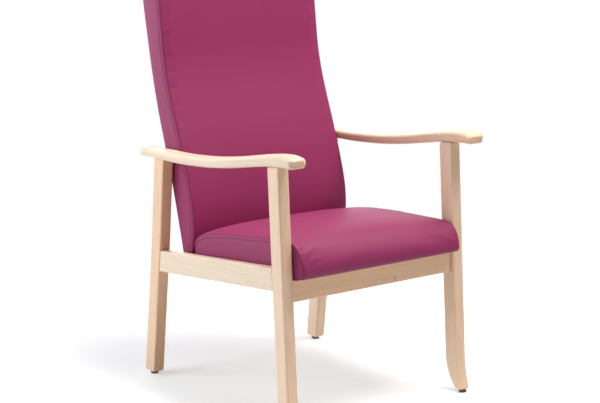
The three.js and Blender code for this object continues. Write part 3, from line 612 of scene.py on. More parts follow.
def beech(name, axis, tones, roughness_range=BEECH_ROUGHNESS_RANGE, painted_front_light=False, knot=None):
    """Lacquered beech whose grain runs along one axis."""
    pale, warm = tones
    shader = Shader(name)
    along = stretched_along(axis, BEECH_GRAIN_STRETCH)
    figure = shader.noise(*BEECH_FIGURE, along)
    bands = shader.noise(*BEECH_BANDS, along)
    broad = shader.noise(*BEECH_BROAD, along)
    color = shader.mix(shader.between(figure, *BEECH_FIGURE_SHARES), pale, warm)
    color = shader.mix(shader.between(broad, *BEECH_BROAD_SHARES), color, pale)
    color = shader.mix(BEECH_LINE_SHARE, color, shader.ramp(bands, BEECH_LINE_STOPS), "MULTIPLY")
    flecks = shader.noise(*BEECH_FLECKS, stretched_along(axis, BEECH_FLECK_STRETCH))
    fleck_share = shader.math("MULTIPLY", shader.ramp(flecks, BEECH_FLECK_STOPS), BEECH_FLECK_SHARE)
    color = shader.mix(fleck_share, color, BEECH_FLECK)
    normal = shader.add("NewGeometry").outputs["Normal"]
    facing = shader.add("SeparateXYZ", {"Vector": normal}).outputs
    end_share = shader.math("POWER", shader.math("ABSOLUTE", facing[axis]), BEECH_END_POWER)
    color = shader.mix(shader.math("MULTIPLY", end_share, BEECH_END_SHARE), color, BEECH_END)
    # Painted light: faces toward ±Y get a warmer, lighter colour in place of the warm front light they catch
    if painted_front_light:
        front_light_share = shader.math("ABSOLUTE", facing["Y"])
        color = shader.mix(front_light_share, color, shader.mix(1.0, color, PAINTED_FRONT_LIGHT_TINT, "MULTIPLY"))
    if knot is not None:
        color = knotted(shader, color, knot)
    shader.set(Base_Color=color, Coat_Weight=0.12, Coat_Roughness=0.3)
    shader.set(Roughness=shader.between(figure, *roughness_range))
    band_bump = shader.bump(bands, BEECH_BAND_HEIGHT)
    shader.set(Normal=shader.bump(flecks, BEECH_FLECK_HEIGHT, 1.0, band_bump))
    return shader.material


def knotted(shader, color, knot):
    """The same colour with one small knot at a point of the frame."""
    offset = shader.vector("SUBTRACT", shader.place, knot)[0]
    distance = shader.vector("LENGTH", shader.vector("MULTIPLY", offset, KNOT_STRETCH)[0])["Value"]
    near = shader.ramp(shader.math("DIVIDE", distance, KNOT_RADIUS), KNOT_STOPS)
    return shader.mix(near, color, BEECH_KNOT)


def vinyl(name, tones, roughness_range):
    """Coated upholstery fabric with a fine leather grain and a soft gloss."""
    color, deep = tones
    shader = Shader(name)
    broad = shader.noise(*VINYL_BROAD)
    tone = shader.mix(shader.between(broad, *VINYL_TONE_SHARES), color, deep)
    inputs = {"Vector": shader.place, "Scale": VINYL_PIT_SCALE}
    cells = shader.add("TexVoronoi", inputs, feature="F1")
    grain = shader.noise(*VINYL_GRAIN)
    pits = shader.ramp(cells.outputs["Distance"], VINYL_PIT_STOPS)
    height = shader.mix(VINYL_GRAIN_SHARE, pits, grain)
    shade = shader.mix(shader.math("MULTIPLY", pits, VINYL_PIT_SHARE), tone, deep)
    # Painted shade: the seam layer darkens the colour along seams and stitches and dims the gloss there
    painted_shade = shader.add("Attribute", attribute_name=PAINTED_SHADE_LAYER).outputs["Fac"]
    shade = shader.mix(shader.math("MULTIPLY", painted_shade, PAINTED_SEAM_SHADE_STRENGTH), shade, PAINTED_SEAM_SHADE_COLOR)
    soft = shader.bump(shader.noise(*VINYL_SLACK), VINYL_SLACK_HEIGHT, VINYL_SLACK_SHARE)
    shader.set(Base_Color=shade, IOR=1.45, Sheen_Weight=0.04, Sheen_Roughness=0.5)
    shader.set(Specular_IOR_Level=shader.between(painted_shade, *VINYL_SPECULAR_RANGE))
    shader.set(Roughness=shader.between(broad, *roughness_range))
    shader.set(Normal=shader.bump(height, VINYL_GRAIN_HEIGHT, VINYL_GRAIN_BUMP_SHARE, soft))
    return shader.material


def thread():
    shader = Shader("thread")
    inputs = {"Vector": shader.place, "Scale": TWIST_SCALE, "Distortion": 1.0}
    twist = shader.add("TexWave", inputs).outputs["Fac"]
    shader.set(Base_Color=THREAD, Roughness=0.75, Normal=shader.bump(twist, TWIST_HEIGHT))
    return shader.material


def grained(name, tones, tone_noise, grain_noise, roughness_range, height, tone_shares=(0, 1)):
    """A material of two tones whose grain shows in its roughness and as a fine bump."""
    shader = Shader(name)
    tone = shader.between(shader.noise(*tone_noise), *tone_shares)
    grain = shader.noise(*grain_noise)
    shader.set(Base_Color=shader.mix(tone, *tones), Roughness=shader.between(grain, *roughness_range))
    shader.set(Normal=shader.bump(grain, height))
    return shader


def moulded_plastic():
    return grained("glide_plastic", *GLIDE_LOOK).material


def zinc_steel():
    shader = grained("zinc_steel", *ZINC_LOOK)
    shader.set(Metallic=1.0)
    return shader.material


def birch_plywood():
    return grained("birch_plywood", *PLY_LOOK).material


def open_foam():
    shader = Shader("open_foam")
    cells = shader.add("TexVoronoi", {"Vector": shader.place, "Scale": FOAM_CELL_SCALE})
    distance = cells.outputs["Distance"]
    color = shader.mix(distance, *FOAM_TONES)
    shader.set(Base_Color=color, Roughness=0.95, Normal=shader.bump(distance, FOAM_CELL_HEIGHT))
    return shader.material


def seen_by_eye(tree):
    """One for a ray from the camera, straight or by way of a mirror or glass, and zero for other light."""
    path = tree.nodes.new("ShaderNodeLightPath")
    total = path.outputs["Is Camera Ray"]
    for kind in ("Is Glossy Ray", "Is Transmission Ray"):
        larger = tree.nodes.new("ShaderNodeMath")
        larger.operation = "MAXIMUM"
        tree.links.new(total, larger.inputs[0])
        tree.links.new(path.outputs[kind], larger.inputs[1])
        total = larger.outputs[0]
    return total


def floor_material():
    """White studio floor: it takes the chair's shadow near the chair and is plain white beyond."""
    shader = Shader("floor")
    flat = shader.vector("MULTIPLY", shader.place, (1, 1, 0))[0]
    distance = shader.vector("LENGTH", flat)["Value"]
    far = shader.ramp(shader.math("DIVIDE", distance, FLOOR_RADIUS), FLOOR_FADE_STOPS)
    shader.set(Base_Color=FLOOR_COLOR, Roughness=0.9, Specular_IOR_Level=0.1)
    seen = seen_by_eye(shader.material.node_tree)
    surface = shader.surface.outputs[0]
    lift = shader.add("Emission", {"Color": rgba(WHITE), "Strength": FLOOR_LIFT}).outputs[0]
    white = shader.add("Emission", {"Color": rgba(WHITE), "Strength": 1.0}).outputs[0]
    near = shader.add("AddShader", {0: surface, 1: lift}).outputs[0]
    shown = shader.add("MixShader", {0: far, 1: near, 2: white}).outputs[0]
    final = shader.add("MixShader", {0: seen, 1: surface, 2: shown}).outputs[0]
    shader.links.new(final, shader.nodes["Material Output"].inputs["Surface"])
    return shader.material


# Wooden frame

def timber(name, bm, material):
    """A finished wooden piece in place of the node of the same name."""
    piece = new_piece(f"{name}_timber", bm, material, name)
    soften_normals(piece)


def front_leg_y(z):
    (top_y, top_z), (knee_y, knee_z) = FRONT_LEG_TOP, FRONT_LEG_KNEE
    return top_y + (knee_y - top_y) * (top_z - z) / (top_z - knee_z)


def rear_leg_y(z):
    (top_y, top_z), (kink_y, kink_z) = REAR_LEG_TOP, REAR_LEG_KINK
    if z > kink_z:
        return top_y + (kink_y - top_y) * (top_z - z) / (top_z - kink_z)
    return kink_y + (REAR_FOOT_Y - kink_y) * (kink_z - z) / kink_z


def arm_lines():
    """The arm's top and under lines from rear to front, as (y, z) points."""
    points = [(ARM_REAR_Y - s * ARM_LENGTH, ARM_LOW_TOP_Z + rise * ARM_RISE) for s, rise in ARM_TOP_SHARES]
    top = spline(points, ARM_LINE_STEPS)
    under = []
    for y, z in top:
        share = (ARM_REAR_Y - y) / ARM_LENGTH
        end = max(0, share - ARM_END_SHARE) / (1 - ARM_END_SHARE)
        thickness = lerp(ARM_REAR_THICKNESS, ARM_FRONT_THICKNESS, share)
        under.append((y, z - lerp(thickness, ARM_END_THICKNESS, end ** 2)))
    return top, under


ARM_TOP, ARM_UNDER = arm_lines()


def leg_top(front_y):
    """The points of a leg's top edge, from front to rear, just under the arm."""
    ys = evenly(front_y, front_y + LEG_DEPTH, LEG_TOP_STEPS)
    return [(y, at(ARM_UNDER, y) - JOINT_GAP) for y in ys]


def rear_leg_outline():
    kink_z = REAR_LEG_KINK[1]
    heights = [GLIDE_HEIGHT, kink_z - REAR_LEG_KINK_REACH, kink_z, kink_z + REAR_LEG_KINK_REACH]
    front = [(rear_leg_y(z), z) for z in heights]
    rear = [(y + LEG_DEPTH, z) for y, z in front]
    return [*front, *leg_top(rear_leg_y(REAR_LEG_TOP[1])), *reversed(rear)]


def front_leg_outline():
    knee_z = FRONT_LEG_KNEE[1]
    knee_y = front_leg_y(knee_z)
    bend_y = front_leg_y(FRONT_FOOT_BEND_Z)
    toe = (FRONT_FOOT_Y, GLIDE_HEIGHT)
    heel = (FRONT_FOOT_Y + FRONT_FOOT_DEPTH, GLIDE_HEIGHT)
    front = bezier(toe, (bend_y, FRONT_FOOT_BEND_Z), (knee_y, knee_z), FRONT_FOOT_STEPS)
    rear_bend = (bend_y + LEG_DEPTH, FRONT_FOOT_BEND_Z)
    rear = bezier((knee_y + LEG_DEPTH, knee_z), rear_bend, heel, FRONT_FOOT_STEPS)
    return [*front, *leg_top(front_leg_y(FRONT_LEG_TOP[1])), *rear]


def round_foot(bm):
    """Draws the lowest few millimetres of a leg in to a quarter round."""
    for k in range(1, FOOT_ROWS + 1):
        rise = FOOT_ROUNDING * (1 - math.cos(math.pi / 2 * k / FOOT_ROWS))
        whole = [*bm.verts, *bm.edges, *bm.faces]
        bmesh.ops.bisect_plane(bm, geom=whole, plane_co=(0, 0, GLIDE_HEIGHT + rise), plane_no=(0, 0, 1))
    lowest = [v.co for v in bm.verts if v.co.z < GLIDE_HEIGHT + FOOT_ROUNDING]
    for axis in (X, Y):
        low = min(place[axis] for place in lowest)
        high = max(place[axis] for place in lowest)
        middle = (low + high) / 2
        for place in lowest:
            inset = quarter_inset(place.z - GLIDE_HEIGHT, FOOT_ROUNDING)
            place[axis] = lerp(place[axis], middle, 2 * inset / (high - low))


def leg(end, side, material):
    name = f"{end}_leg_{side}"
    low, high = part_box(name)
    bm = prism(front_leg_outline() if end == "front" else rear_leg_outline(), low.x, high.x)
    foot_z = GLIDE_HEIGHT + MERGE_DISTANCE
    above_foot = [e for e in sharp_edges(bm) if max(v.co.z for v in e.verts) > foot_z]
    round_edges(bm, above_foot, LEG_ROUNDING, LEG_ROUNDING_STEPS)
    round_foot(bm)
    timber(name, bm, material)


def rounded_section(x, y, low_z, high_z, half_width, rounding):
    """The points of a rounded rectangle across an arm, at one depth."""
    rounding = min(rounding, (high_z - low_z) / 2, half_width)
    points = []
    for quarter, (out, up) in enumerate(((1, 1), (-1, 1), (-1, -1), (1, -1))):
        centre_x = x + out * (half_width - rounding)
        centre_z = (high_z if up > 0 else low_z) - up * rounding
        for k in range(ARM_CORNER_STEPS + 1):
            angle = math.pi / 2 * (quarter + k / ARM_CORNER_STEPS)
            points.append((centre_x + rounding * math.cos(angle), y, centre_z + rounding * math.sin(angle)))
    return points


def arm(side, material):
    """A bent arm: rounded sections along its two lines, with a full nose behind."""
    name = f"armrest_{side}"
    low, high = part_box(name)
    middle_x = (low.x + high.x) / 2
    half_width = (high.x - low.x) / 2
    rear_y = ARM_REAR_Y + ARM_TIP_SHARE * ARM_REAR_THICKNESS
    front_y = ARM_REAR_Y - ARM_LENGTH
    turn = [1 - math.cos(math.pi / 2 * k / ARM_END_ROWS) for k in range(ARM_END_ROWS)]
    ys = [rear_y - t * ARM_REAR_ROUNDING for t in turn]
    ys += evenly(rear_y - ARM_REAR_ROUNDING, front_y + ARM_END_ROUNDING, ARM_ROWS)
    ys += [front_y + t * ARM_END_ROUNDING for t in reversed(turn)]
    bm = bmesh.new()
    rings = []
    for y in ys:
        top_z = at(ARM_TOP, y)
        under_z = at(ARM_UNDER, y)
        nose = quarter_inset(rear_y - y, (top_z - under_z) / 2)
        face = quarter_inset(y - front_y, ARM_END_FACE_ROUNDING)
        plan = quarter_inset(rear_y - y, ARM_REAR_ROUNDING) + quarter_inset(y - front_y, ARM_END_ROUNDING)
        inset = min(nose + face, ARM_MOST_INSET_SHARE * (top_z - under_z))
        ring = rounded_section(middle_x, y, under_z + inset, top_z - inset, half_width - plan, ARM_ROUNDING)
        rings.append([bm.verts.new(point) for point in ring])
    tube_faces(bm, rings)
    timber(name, bm, material)


def rail(name, outline, material):
    """A rail with this outline of (y, z) points, as wide as its node."""
    low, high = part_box(name)
    bm = prism(outline, low.x, high.x)
    round_edges(bm, sharp_edges(bm), RAIL_ROUNDING, RAIL_ROUNDING_STEPS)
    timber(name, bm, material)


def side_rail(side, material):
    front_heights = (SIDE_RAIL_FRONT_TOP_Z, SIDE_RAIL_FRONT_TOP_Z - RAIL_HEIGHT)
    rear_heights = (SIDE_RAIL_REAR_TOP_Z - RAIL_HEIGHT, SIDE_RAIL_REAR_TOP_Z)
    front = [(front_leg_y(z) + LEG_DEPTH + JOINT_GAP, z) for z in front_heights]
    rear = [(rear_leg_y(z) - JOINT_GAP, z) for z in rear_heights]
    rail(f"side_rail_{side}", [*front, *rear], material)


def front_rail(material):
    """The front rail, with its top on the slope of the seat."""
    low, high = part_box("front_rail")
    low_y = low.y - Y_SHIFT
    high_y = high.y - Y_SHIFT
    slope_drop = SEAT_SLOPE * (high_y - low_y)
    outline = [(low_y, low.z), (high_y, low.z), (high_y, high.z - slope_drop), (low_y, high.z)]
    rail("front_rail", outline, material)


def glide(end, side, material):
    name = f"{end}_glide_{side}"
    low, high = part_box(name)
    middle = (low + high) / 2
    radius = (high.x - low.x) / 2
    bm = bmesh.new()
    rings = []
    for radius_share, height_share in GLIDE_PROFILE_SHARES:
        centre = Vector((middle.x, middle.y - Y_SHIFT, height_share * GLIDE_HEIGHT))
        rings.append(circle(bm, centre, radius_share * radius, GLIDE_SIDES))
    tube_faces(bm, rings)
    piece = new_piece(f"{name}_pad", bm, material, name)
    soften_normals(piece)


# Seams, painted seam shade and gathers

def bell(distance, offset, height, width):
    """A smooth bell at an offset from a seam, seen at a distance from it."""
    return height * math.exp(-((distance - offset) / width) ** 2)


def seam_groove(distance):
    """How far a seam draws a panel in."""
    return bell(distance, 0, SEAM_DEPTH, SEAM_WIDTH)


def sewn_groove(distance):
    """The same where a row of stitches runs beside the seam."""
    return seam_groove(distance) + bell(distance, TOPSTITCH_OFFSET, TOPSTITCH_DEPTH, TOPSTITCH_WIDTH)


def seam_line_shade(distance):
    """How much painted shade a panel gets beside its seam, from 0 to 1."""
    return bell(distance, 0, SEAM_SHADE_SHARE, SEAM_SHADE_WIDTH)


def sewn_shade(distance):
    """The same where a row of stitches runs beside the seam."""
    stitch = bell(distance, TOPSTITCH_OFFSET, TOPSTITCH_SHADE_SHARE, TOPSTITCH_SHADE_WIDTH)
    return max(seam_line_shade(distance), stitch)


def pucker(distance, along, phase):
    """Small gathers that run off a seam and fade."""
    distance = max(0, distance)
    turn = along * 2 * math.pi
    wave = math.sin(turn / PUCKER_LONG_WAVE + phase)
    wave += PUCKER_SHORT_SHARE * math.sin(turn / PUCKER_SHORT_WAVE + PUCKER_SHORT_PHASE * phase)
    fade = math.exp(-(distance / PUCKER_REACH) ** PUCKER_FADE_POWER)
    return PUCKER_DEPTH * wave * fade * min(1, distance / PUCKER_START)


def side_phase(phases, x):
    """The phase of a panel's gathers on the side of the middle where x is."""
    middle, spread = phases
    return middle + math.copysign(spread, x)


def shaded_point(bm, place, darkness):
    """A new point of a cover that carries how much painted shade its seam puts on it."""
    vertex = bm.verts.new(place)
    vertex[bm.verts.layers.float[PAINTED_SHADE_LAYER]] = darkness
    return vertex


def boxing_rings(bm, seam, point):
    """The rows of a boxing. Point gives a place in a row and its distance from the seam."""
    rings = [seam]
    for row in range(BOXING_ROWS):
        places = [point(k, row) for k in range(len(seam))]
        rings.append([shaded_point(bm, place, sewn_shade(reach)) for place, reach in places])
    return rings


def boxing_reaches(width):
    """Distances from the front seam to the rows of a boxing panel of this width."""
    rest = [lerp(BOXING_STEPS[-1], width, share) for share in BOXING_REST_SHARES]
    return BOXING_STEPS + rest


# Back

BACK_CORNER_X = BACK_HALF_WIDTH - BACK_CORNER_RADIUS
BACK_CORNER_Z = BACK_TOP_Z - BACK_CORNER_RADIUS


def back_line(shares, start_y, lean):
    height = BACK_TOP_Z - BACK_BOTTOM_Z
    points = [(start_y + back * lean, BACK_BOTTOM_Z + up * height) for up, back in shares]
    return spline(points, BACK_LINE_STEPS)


BACK_FRONT = back_line(BACK_FRONT_SHARES, BACK_FRONT_Y, BACK_LEAN)
BACK_REAR = back_line(BACK_REAR_SHARES, BACK_REAR_Y, BACK_REAR_LEAN)


def back_half_width(z):
    """Half the back's width at a height, less where the top corners turn over."""
    past = max(0, z - BACK_CORNER_Z) / BACK_CORNER_RADIUS
    return BACK_HALF_WIDTH - BACK_CORNER_RADIUS * (1 - math.sqrt(max(0, 1 - past * past)))


def back_hollow(x):
    """How far the back's front is hollowed toward its middle."""
    return BACK_HOLLOW * (1 - (x / BACK_HALF_WIDTH) ** 2)


def back_edge_distance(x, z):
    """Distance from a point of the back's front view to its seam."""
    past_x = abs(x) - BACK_CORNER_X
    past_z = z - BACK_CORNER_Z
    if past_x > 0 and past_z > 0:
        return max(0, BACK_CORNER_RADIUS - math.hypot(past_x, past_z))
    return max(0, min(BACK_HALF_WIDTH - abs(x), BACK_TOP_Z - z))


def back_rows():
    """Heights of the back's rows: even, then closer toward the top seam."""
    steps = [s for s in PANEL_STEPS if s < BACK_CORNER_RADIUS - LEAST_PANEL_STEP]
    return evenly(BACK_BOTTOM_Z, BACK_CORNER_Z, BACK_ROWS) + [BACK_TOP_Z - s for s in reversed(steps)]


def back_columns(z):
    half = back_half_width(z)
    return mirrored([half - s for s in PANEL_STEPS if s < half])


def back_front_point(x, z):
    distance = back_edge_distance(x, z)
    drop = BACK_ROLL_SHARE * quarter_inset(distance, BACK_ROLL)
    along = z if abs(x) > BACK_PUCKER_SIDE else x
    sink = seam_groove(distance) + pucker(distance, along, side_phase(BACK_PUCKER_PHASES, x))
    return Vector((x, at(BACK_FRONT, z, 1) + back_hollow(x) + drop + sink, z))


def outward_from_back(place):
    """The direction that the boxing faces at a point of the back's outline."""
    if place.z <= BACK_CORNER_Z:
        return Vector((math.copysign(1, place.x), 0, 0))
    centre_x = math.copysign(min(abs(place.x), BACK_CORNER_X), place.x)
    return Vector((place.x - centre_x, 0, place.z - BACK_CORNER_Z)).normalized()


def back_boxing_point(seam_place, row):
    """A point of the boxing behind a point of the seam, and its distance from the seam."""
    rear_y = at(BACK_REAR, seam_place.z, 1) - COVER_THICKNESS
    width = rear_y - seam_place.y
    reach = boxing_reaches(width)[row]
    bulge = BOXING_BULGE * math.sin(math.pi * reach / width) - sewn_groove(reach) - seam_groove(width - reach)
    place = Vector((seam_place.x, seam_place.y + reach, seam_place.z))
    return place + outward_from_back(seam_place) * bulge, reach


def back_turn_in(place):
    """Where the boxing's rear edge is turned in, behind the edge of the rear panel."""
    inner_z = min(place.z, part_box("rear_cover")[HIGH].z - TURN_IN_LAP)
    inner_y = at(BACK_REAR, inner_z, 1) - COVER_THICKNESS + JOINT_GAP
    return Vector((place.x * (1 - TURN_IN_LAP / BACK_HALF_WIDTH), inner_y, inner_z))


def back_cover(material):
    """Front panel, boxing up both sides and over the top, and a rear turn-in."""
    bm = bmesh.new()
    bm.verts.layers.float.new(PAINTED_SHADE_LAYER)
    front = []
    for z in back_rows():
        shades = [(x, seam_line_shade(back_edge_distance(x, z))) for x in back_columns(z)]
        front.append([shaded_point(bm, back_front_point(x, z), darkness) for x, darkness in shades])
    grid_faces(bm, front)
    rim = [row[0] for row in front] + front[-1][1:-1] + [row[-1] for row in reversed(front)]
    rings = boxing_rings(bm, rim, lambda k, row: back_boxing_point(rim[k].co, row))
    rings.append([bm.verts.new(back_turn_in(vertex.co)) for vertex in rings[-1]])
    grid_faces(bm, rings)
    piece = new_piece("back_upholstery", bm, material, "back_cover", "back_foam")
    smooth_once(piece)
    return piece


def rear_cover(material):
    """The rear panel, pulled flat over the board, with its edge folded under."""
    low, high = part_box("rear_cover")
    half = (high.x - low.x) / 2
    xs = mirrored([half - s for s in REAR_EDGE_STEPS])
    edge_steps = REAR_EDGE_STEPS[:REAR_EDGE_ROWS]
    zs = [low.z + s for s in edge_steps]
    zs += evenly(low.z + REAR_EDGE_REACH, high.z - REAR_EDGE_REACH, REAR_ROWS)
    zs += [high.z - s for s in reversed(edge_steps)]
    bm = bmesh.new()
    grid = []
    for z in zs:
        row = []
        for x in xs:
            distance = min(half - abs(x), high.z - z, z - low.z)
            fold = REAR_FOLD_HEIGHT * (1 - math.exp(-distance / REAR_FOLD_WIDTH))
            along = z if abs(x) > half - REAR_PUCKER_SIDE else x
            gather = REAR_PUCKER_SHARE * pucker(distance, along, REAR_PUCKER_PHASE)
            row.append(bm.verts.new((x, at(BACK_REAR, z, 1) - REAR_PANEL_SINK + fold + gather, z)))
        grid.append(row)
    grid_faces(bm, grid)
    piece = new_piece("rear_upholstery", bm, material, "rear_cover")
    thick = piece.modifiers.new("thickness", "SOLIDIFY")
    thick.thickness = REAR_PANEL_THICKNESS
    thick.offset = -1
    apply_modifiers(piece)
    smooth_once(piece)


# Seat, in its own frame: along the slope of the rails, from the front rail's top

SEAT_SLOPE_RUN = rear_leg_y(SIDE_RAIL_REAR_TOP_Z) - front_leg_y(SIDE_RAIL_FRONT_TOP_Z) - LEG_DEPTH
SEAT_SLOPE = (SIDE_RAIL_FRONT_TOP_Z - SIDE_RAIL_REAR_TOP_Z) / SEAT_SLOPE_RUN
SEAT_BASE_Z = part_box("front_rail")[HIGH].z + JOINT_GAP
SEAT_STRETCH = math.sqrt(1 + SEAT_SLOPE ** 2)
SEAT_DEPTH = (SEAT_REAR_Y - SEAT_FRONT_Y) * SEAT_STRETCH
SEAT_REAR_REACH = (SEAT_REAR_Y - FRONT_RAIL_Y) * SEAT_STRETCH
SEAT_ORIGIN = Matrix.Translation((0, FRONT_RAIL_Y, SEAT_BASE_Z))
SEAT_TURN = SEAT_ORIGIN @ Matrix.Rotation(-math.atan(SEAT_SLOPE), 4, "X")
SEAT_EDGE = spline(SEAT_EDGE_SHARES, SEAT_SECTION_STEPS)
SEAT_MIDDLE = spline(SEAT_MIDDLE_SHARES, SEAT_SECTION_STEPS)


def seat_point(share, k):
    """A point of the cushion's skin: share of the half width, and step along the section."""
    edge = abs(share) ** SEAT_CROWN_POWER
    edge_y, edge_z = SEAT_EDGE[k]
    middle_y, middle_z = SEAT_MIDDLE[k]
    depth_share = lerp(middle_y, edge_y, edge)
    height = lerp(middle_z * (SEAT_EDGE_HEIGHT + SEAT_CROWN), edge_z * SEAT_EDGE_HEIGHT, edge)
    nose = max(0, depth_share - SEAT_NOSE_SHARE) / (1 - SEAT_NOSE_SHARE)
    nose_draw_in = SEAT_NOSE_DRAW_IN + SEAT_NOSE_LEAN * share
    drawn = edge * (SEAT_DRAW_IN * (1 - min(edge_z, 1)) + nose_draw_in * nose ** 2)
    settle_start = lerp(SEAT_SETTLE_START_SHARE, SEAT_SETTLE_FAR_START_SHARE, max(0, share))
    forward = clamp((depth_share - settle_start) / (SEAT_SETTLE_END_SHARE - settle_start))
    height -= SEAT_SETTLE * share * forward * forward * (3 - 2 * forward) * min(edge_z, 1)
    y = SEAT_REAR_REACH - depth_share * SEAT_DEPTH
    return Vector((share * SEAT_HALF_WIDTH - math.copysign(drawn, share), y, height))


def seat_sink(distance, length, share):
    """How far the cushion's skin is drawn in near its side seam."""
    gather = pucker(distance, length, side_phase(SEAT_PUCKER_PHASES, share))
    return seam_groove(distance) + gather + SEAT_ROLL_SHARE * quarter_inset(distance, SEAT_ROLL)


def seat_normal(points, i, k):
    """The direction out of the cushion's skin at one of its points."""
    column = points[i]
    tangent = (column[min(k + 1, len(column) - 1)] - column[max(k - 1, 0)]).normalized()
    across = points[min(i + 1, len(points) - 1)][k] - points[max(i - 1, 0)][k]
    return tangent.cross(across).normalized()


def keep_off_back(bm):
    """Draws the cushion's rear in to the front of the back."""
    for vertex in bm.verts:
        if vertex.co.z > BACK_BOTTOM_Z:
            x = max(-BACK_HALF_WIDTH, min(BACK_HALF_WIDTH, vertex.co.x))
            back_y = at(BACK_FRONT, vertex.co.z, 1) + back_hollow(x)
            vertex.co.y = min(vertex.co.y, back_y - SEAT_BACK_GAP)


def seat_cover(material):
    """Top panel from the rear over the nose to the foot, and a boxing on each side."""
    count = len(SEAT_EDGE)
    shares = mirrored([(SEAT_HALF_WIDTH - s) / SEAT_HALF_WIDTH for s in PANEL_STEPS])
    points = [[seat_point(share, k) for k in range(count)] for share in shares]
    bm = bmesh.new()
    bm.verts.layers.float.new(PAINTED_SHADE_LAYER)
    grid = []
    for i, share in enumerate(shares):
        row = []
        distance = (1 - abs(share)) * SEAT_HALF_WIDTH
        for k, point in enumerate(points[i]):
            sink = seat_sink(distance, k / count * SEAT_SEAM_LENGTH, share)
            place = point - seat_normal(points, i, k) * sink
            row.append(shaded_point(bm, place, seam_line_shade(distance)))
        grid.append(row)
    grid_faces(bm, grid)
    for column, sign in ((grid[0], -1), (grid[-1], 1)):
        side_panel(bm, column, sign)
    bmesh.ops.remove_doubles(bm, verts=bm.verts, dist=MERGE_DISTANCE)
    bmesh.ops.transform(bm, matrix=SEAT_TURN, verts=bm.verts)
    keep_off_back(bm)
    piece = new_piece("seat_upholstery", bm, material, "seat_cover", "seat_foam")
    smooth_once(piece)
    return piece


def inward_from_seam(places, k):
    """The direction in the boxing's plane that leads from its seam into the panel."""
    along = places[min(k + 1, len(places) - 1)] - places[max(k - 1, 0)]
    return Vector((0, -along.z, along.y)).normalized()


def seat_boxing_point(places, k, row, sign):
    """A point of the side boxing beside a point of its seam, and its distance from the seam."""
    seam_place = places[k]
    near_foot = min(1, max(0, seam_place.z) / BOXING_TAPER)
    reach = near_foot * BOXING_STEPS[min(row, len(BOXING_STEPS) - 1)]
    place = seam_place + inward_from_seam(places, k) * reach
    foot_share = 0
    if row >= len(BOXING_STEPS):
        foot_share = BOXING_REST_SHARES[row - len(BOXING_STEPS)]
        foot = Vector((place.x, max(place.y, places[-1].y), min(0, seam_place.z)))
        place = place.lerp(foot, foot_share)
    bulge = BOXING_BULGE * (1 - math.exp(-reach / BOXING_SWELL)) * (1 - foot_share ** 2)
    bulge -= sewn_groove(reach) - BOXING_SEAM_SHARE * seam_groove(reach)
    bulge -= BOXING_REAR_ROUNDING_SHARE * quarter_inset(places[0].y - place.y, BOXING_REAR_ROUNDING)
    return place + Vector((sign * bulge, 0, 0)), reach


def side_panel(bm, seam, sign):
    """The boxing on one side: rows beside the seam, then down to the cushion's foot."""
    places = [vertex.co.copy() for vertex in seam]
    grid_faces(bm, boxing_rings(bm, seam, lambda k, row: seat_boxing_point(places, k, row, sign)))


# Stitches

def one_stitch(bm, centre, along, up):
    """A short tapered capsule of thread along the seam, bent up in its middle."""
    side = along.cross(up).normalized()
    angles = [2 * math.pi * j / STITCH_SIDES for j in range(STITCH_SIDES)]
    rings = []
    for length_share, radius_share, lift_share in STITCH_SHARES:
        middle = centre + along * (length_share * STITCH_LENGTH / 2) + up * (lift_share * STITCH_RADIUS)
        radius = radius_share * STITCH_RADIUS
        spokes = [side * math.cos(a) + up * math.sin(a) for a in angles]
        rings.append([bm.verts.new(middle + spoke * radius) for spoke in spokes])
    tube_faces(bm, rings)


def stitches(name, path, normals, material):
    """A row of thread stitches along a path of points, evenly spaced."""
    bm = bmesh.new()
    lengths = [0.0]
    for a, b in zip(path, path[1:]):
        lengths.append(lengths[-1] + (b - a).length)
    k = 0
    start = STITCH_PITCH / 2
    while start + STITCH_LENGTH < lengths[-1]:
        middle = start + STITCH_LENGTH / 2
        while lengths[k + 1] < middle:
            k += 1
        share = (middle - lengths[k]) / (lengths[k + 1] - lengths[k])
        centre = path[k].lerp(path[k + 1], share)
        one_stitch(bm, centre, (path[k + 1] - path[k]).normalized(), normals[k])
        start += STITCH_PITCH
    piece = new_piece(name, bm, material)
    return piece


def back_stitches(material):
    """The stitches on the back's boxing, up one side, over the top and down the other."""
    heights = evenly(BACK_BOTTOM_Z + BACK_STITCH_START, BACK_CORNER_Z, BACK_STITCH_STEPS)
    side = [(BACK_HALF_WIDTH, z) for z in heights]
    angles = evenly(0, math.pi / 2, BACK_STITCH_TURN_STEPS)[1:]
    turn = [
        (BACK_CORNER_X + BACK_CORNER_RADIUS * math.cos(a), BACK_CORNER_Z + BACK_CORNER_RADIUS * math.sin(a))
        for a in angles
    ]
    outline = side + turn + [(-x, z) for x, z in reversed(side + turn)]
    seam = [back_front_point(x, z) for x, z in outline]
    path = [back_boxing_point(place, STITCH_ROW)[0] for place in seam]
    return stitches("back_topstitch", path, [outward_from_back(place) for place in seam], material)


def seat_stitches(material, side, sign):
    """The row of stitches on one side boxing of the cushion."""
    places = [seat_point(sign, k) for k in range(len(SEAT_EDGE))]
    path = [seat_boxing_point(places, k, STITCH_ROW, sign)[0] for k in range(len(places))]
    path = [SEAT_TURN @ place for place in path if place.z > BOXING_TAPER]
    outward = Vector((sign, 0, 0))
    return stitches(f"seat_topstitch_{side}", path, [outward] * len(path), material)


# Filling: each pad is blown up as cloth between its seams, and its cover and stitches follow

def seat_is_held(place):
    """The cushion is held along its side seams, on the rails and against the back."""
    on_seam = abs(place.x) > SEAT_HALF_WIDTH - FILL_PIN_BAND
    on_rails = place.z < SEAT_BASE_Z + FILL_PIN_BAND
    on_back = place.y > at(BACK_FRONT, place.z, 1) - FILL_REAR_PIN_BAND
    return on_seam or on_rails or on_back


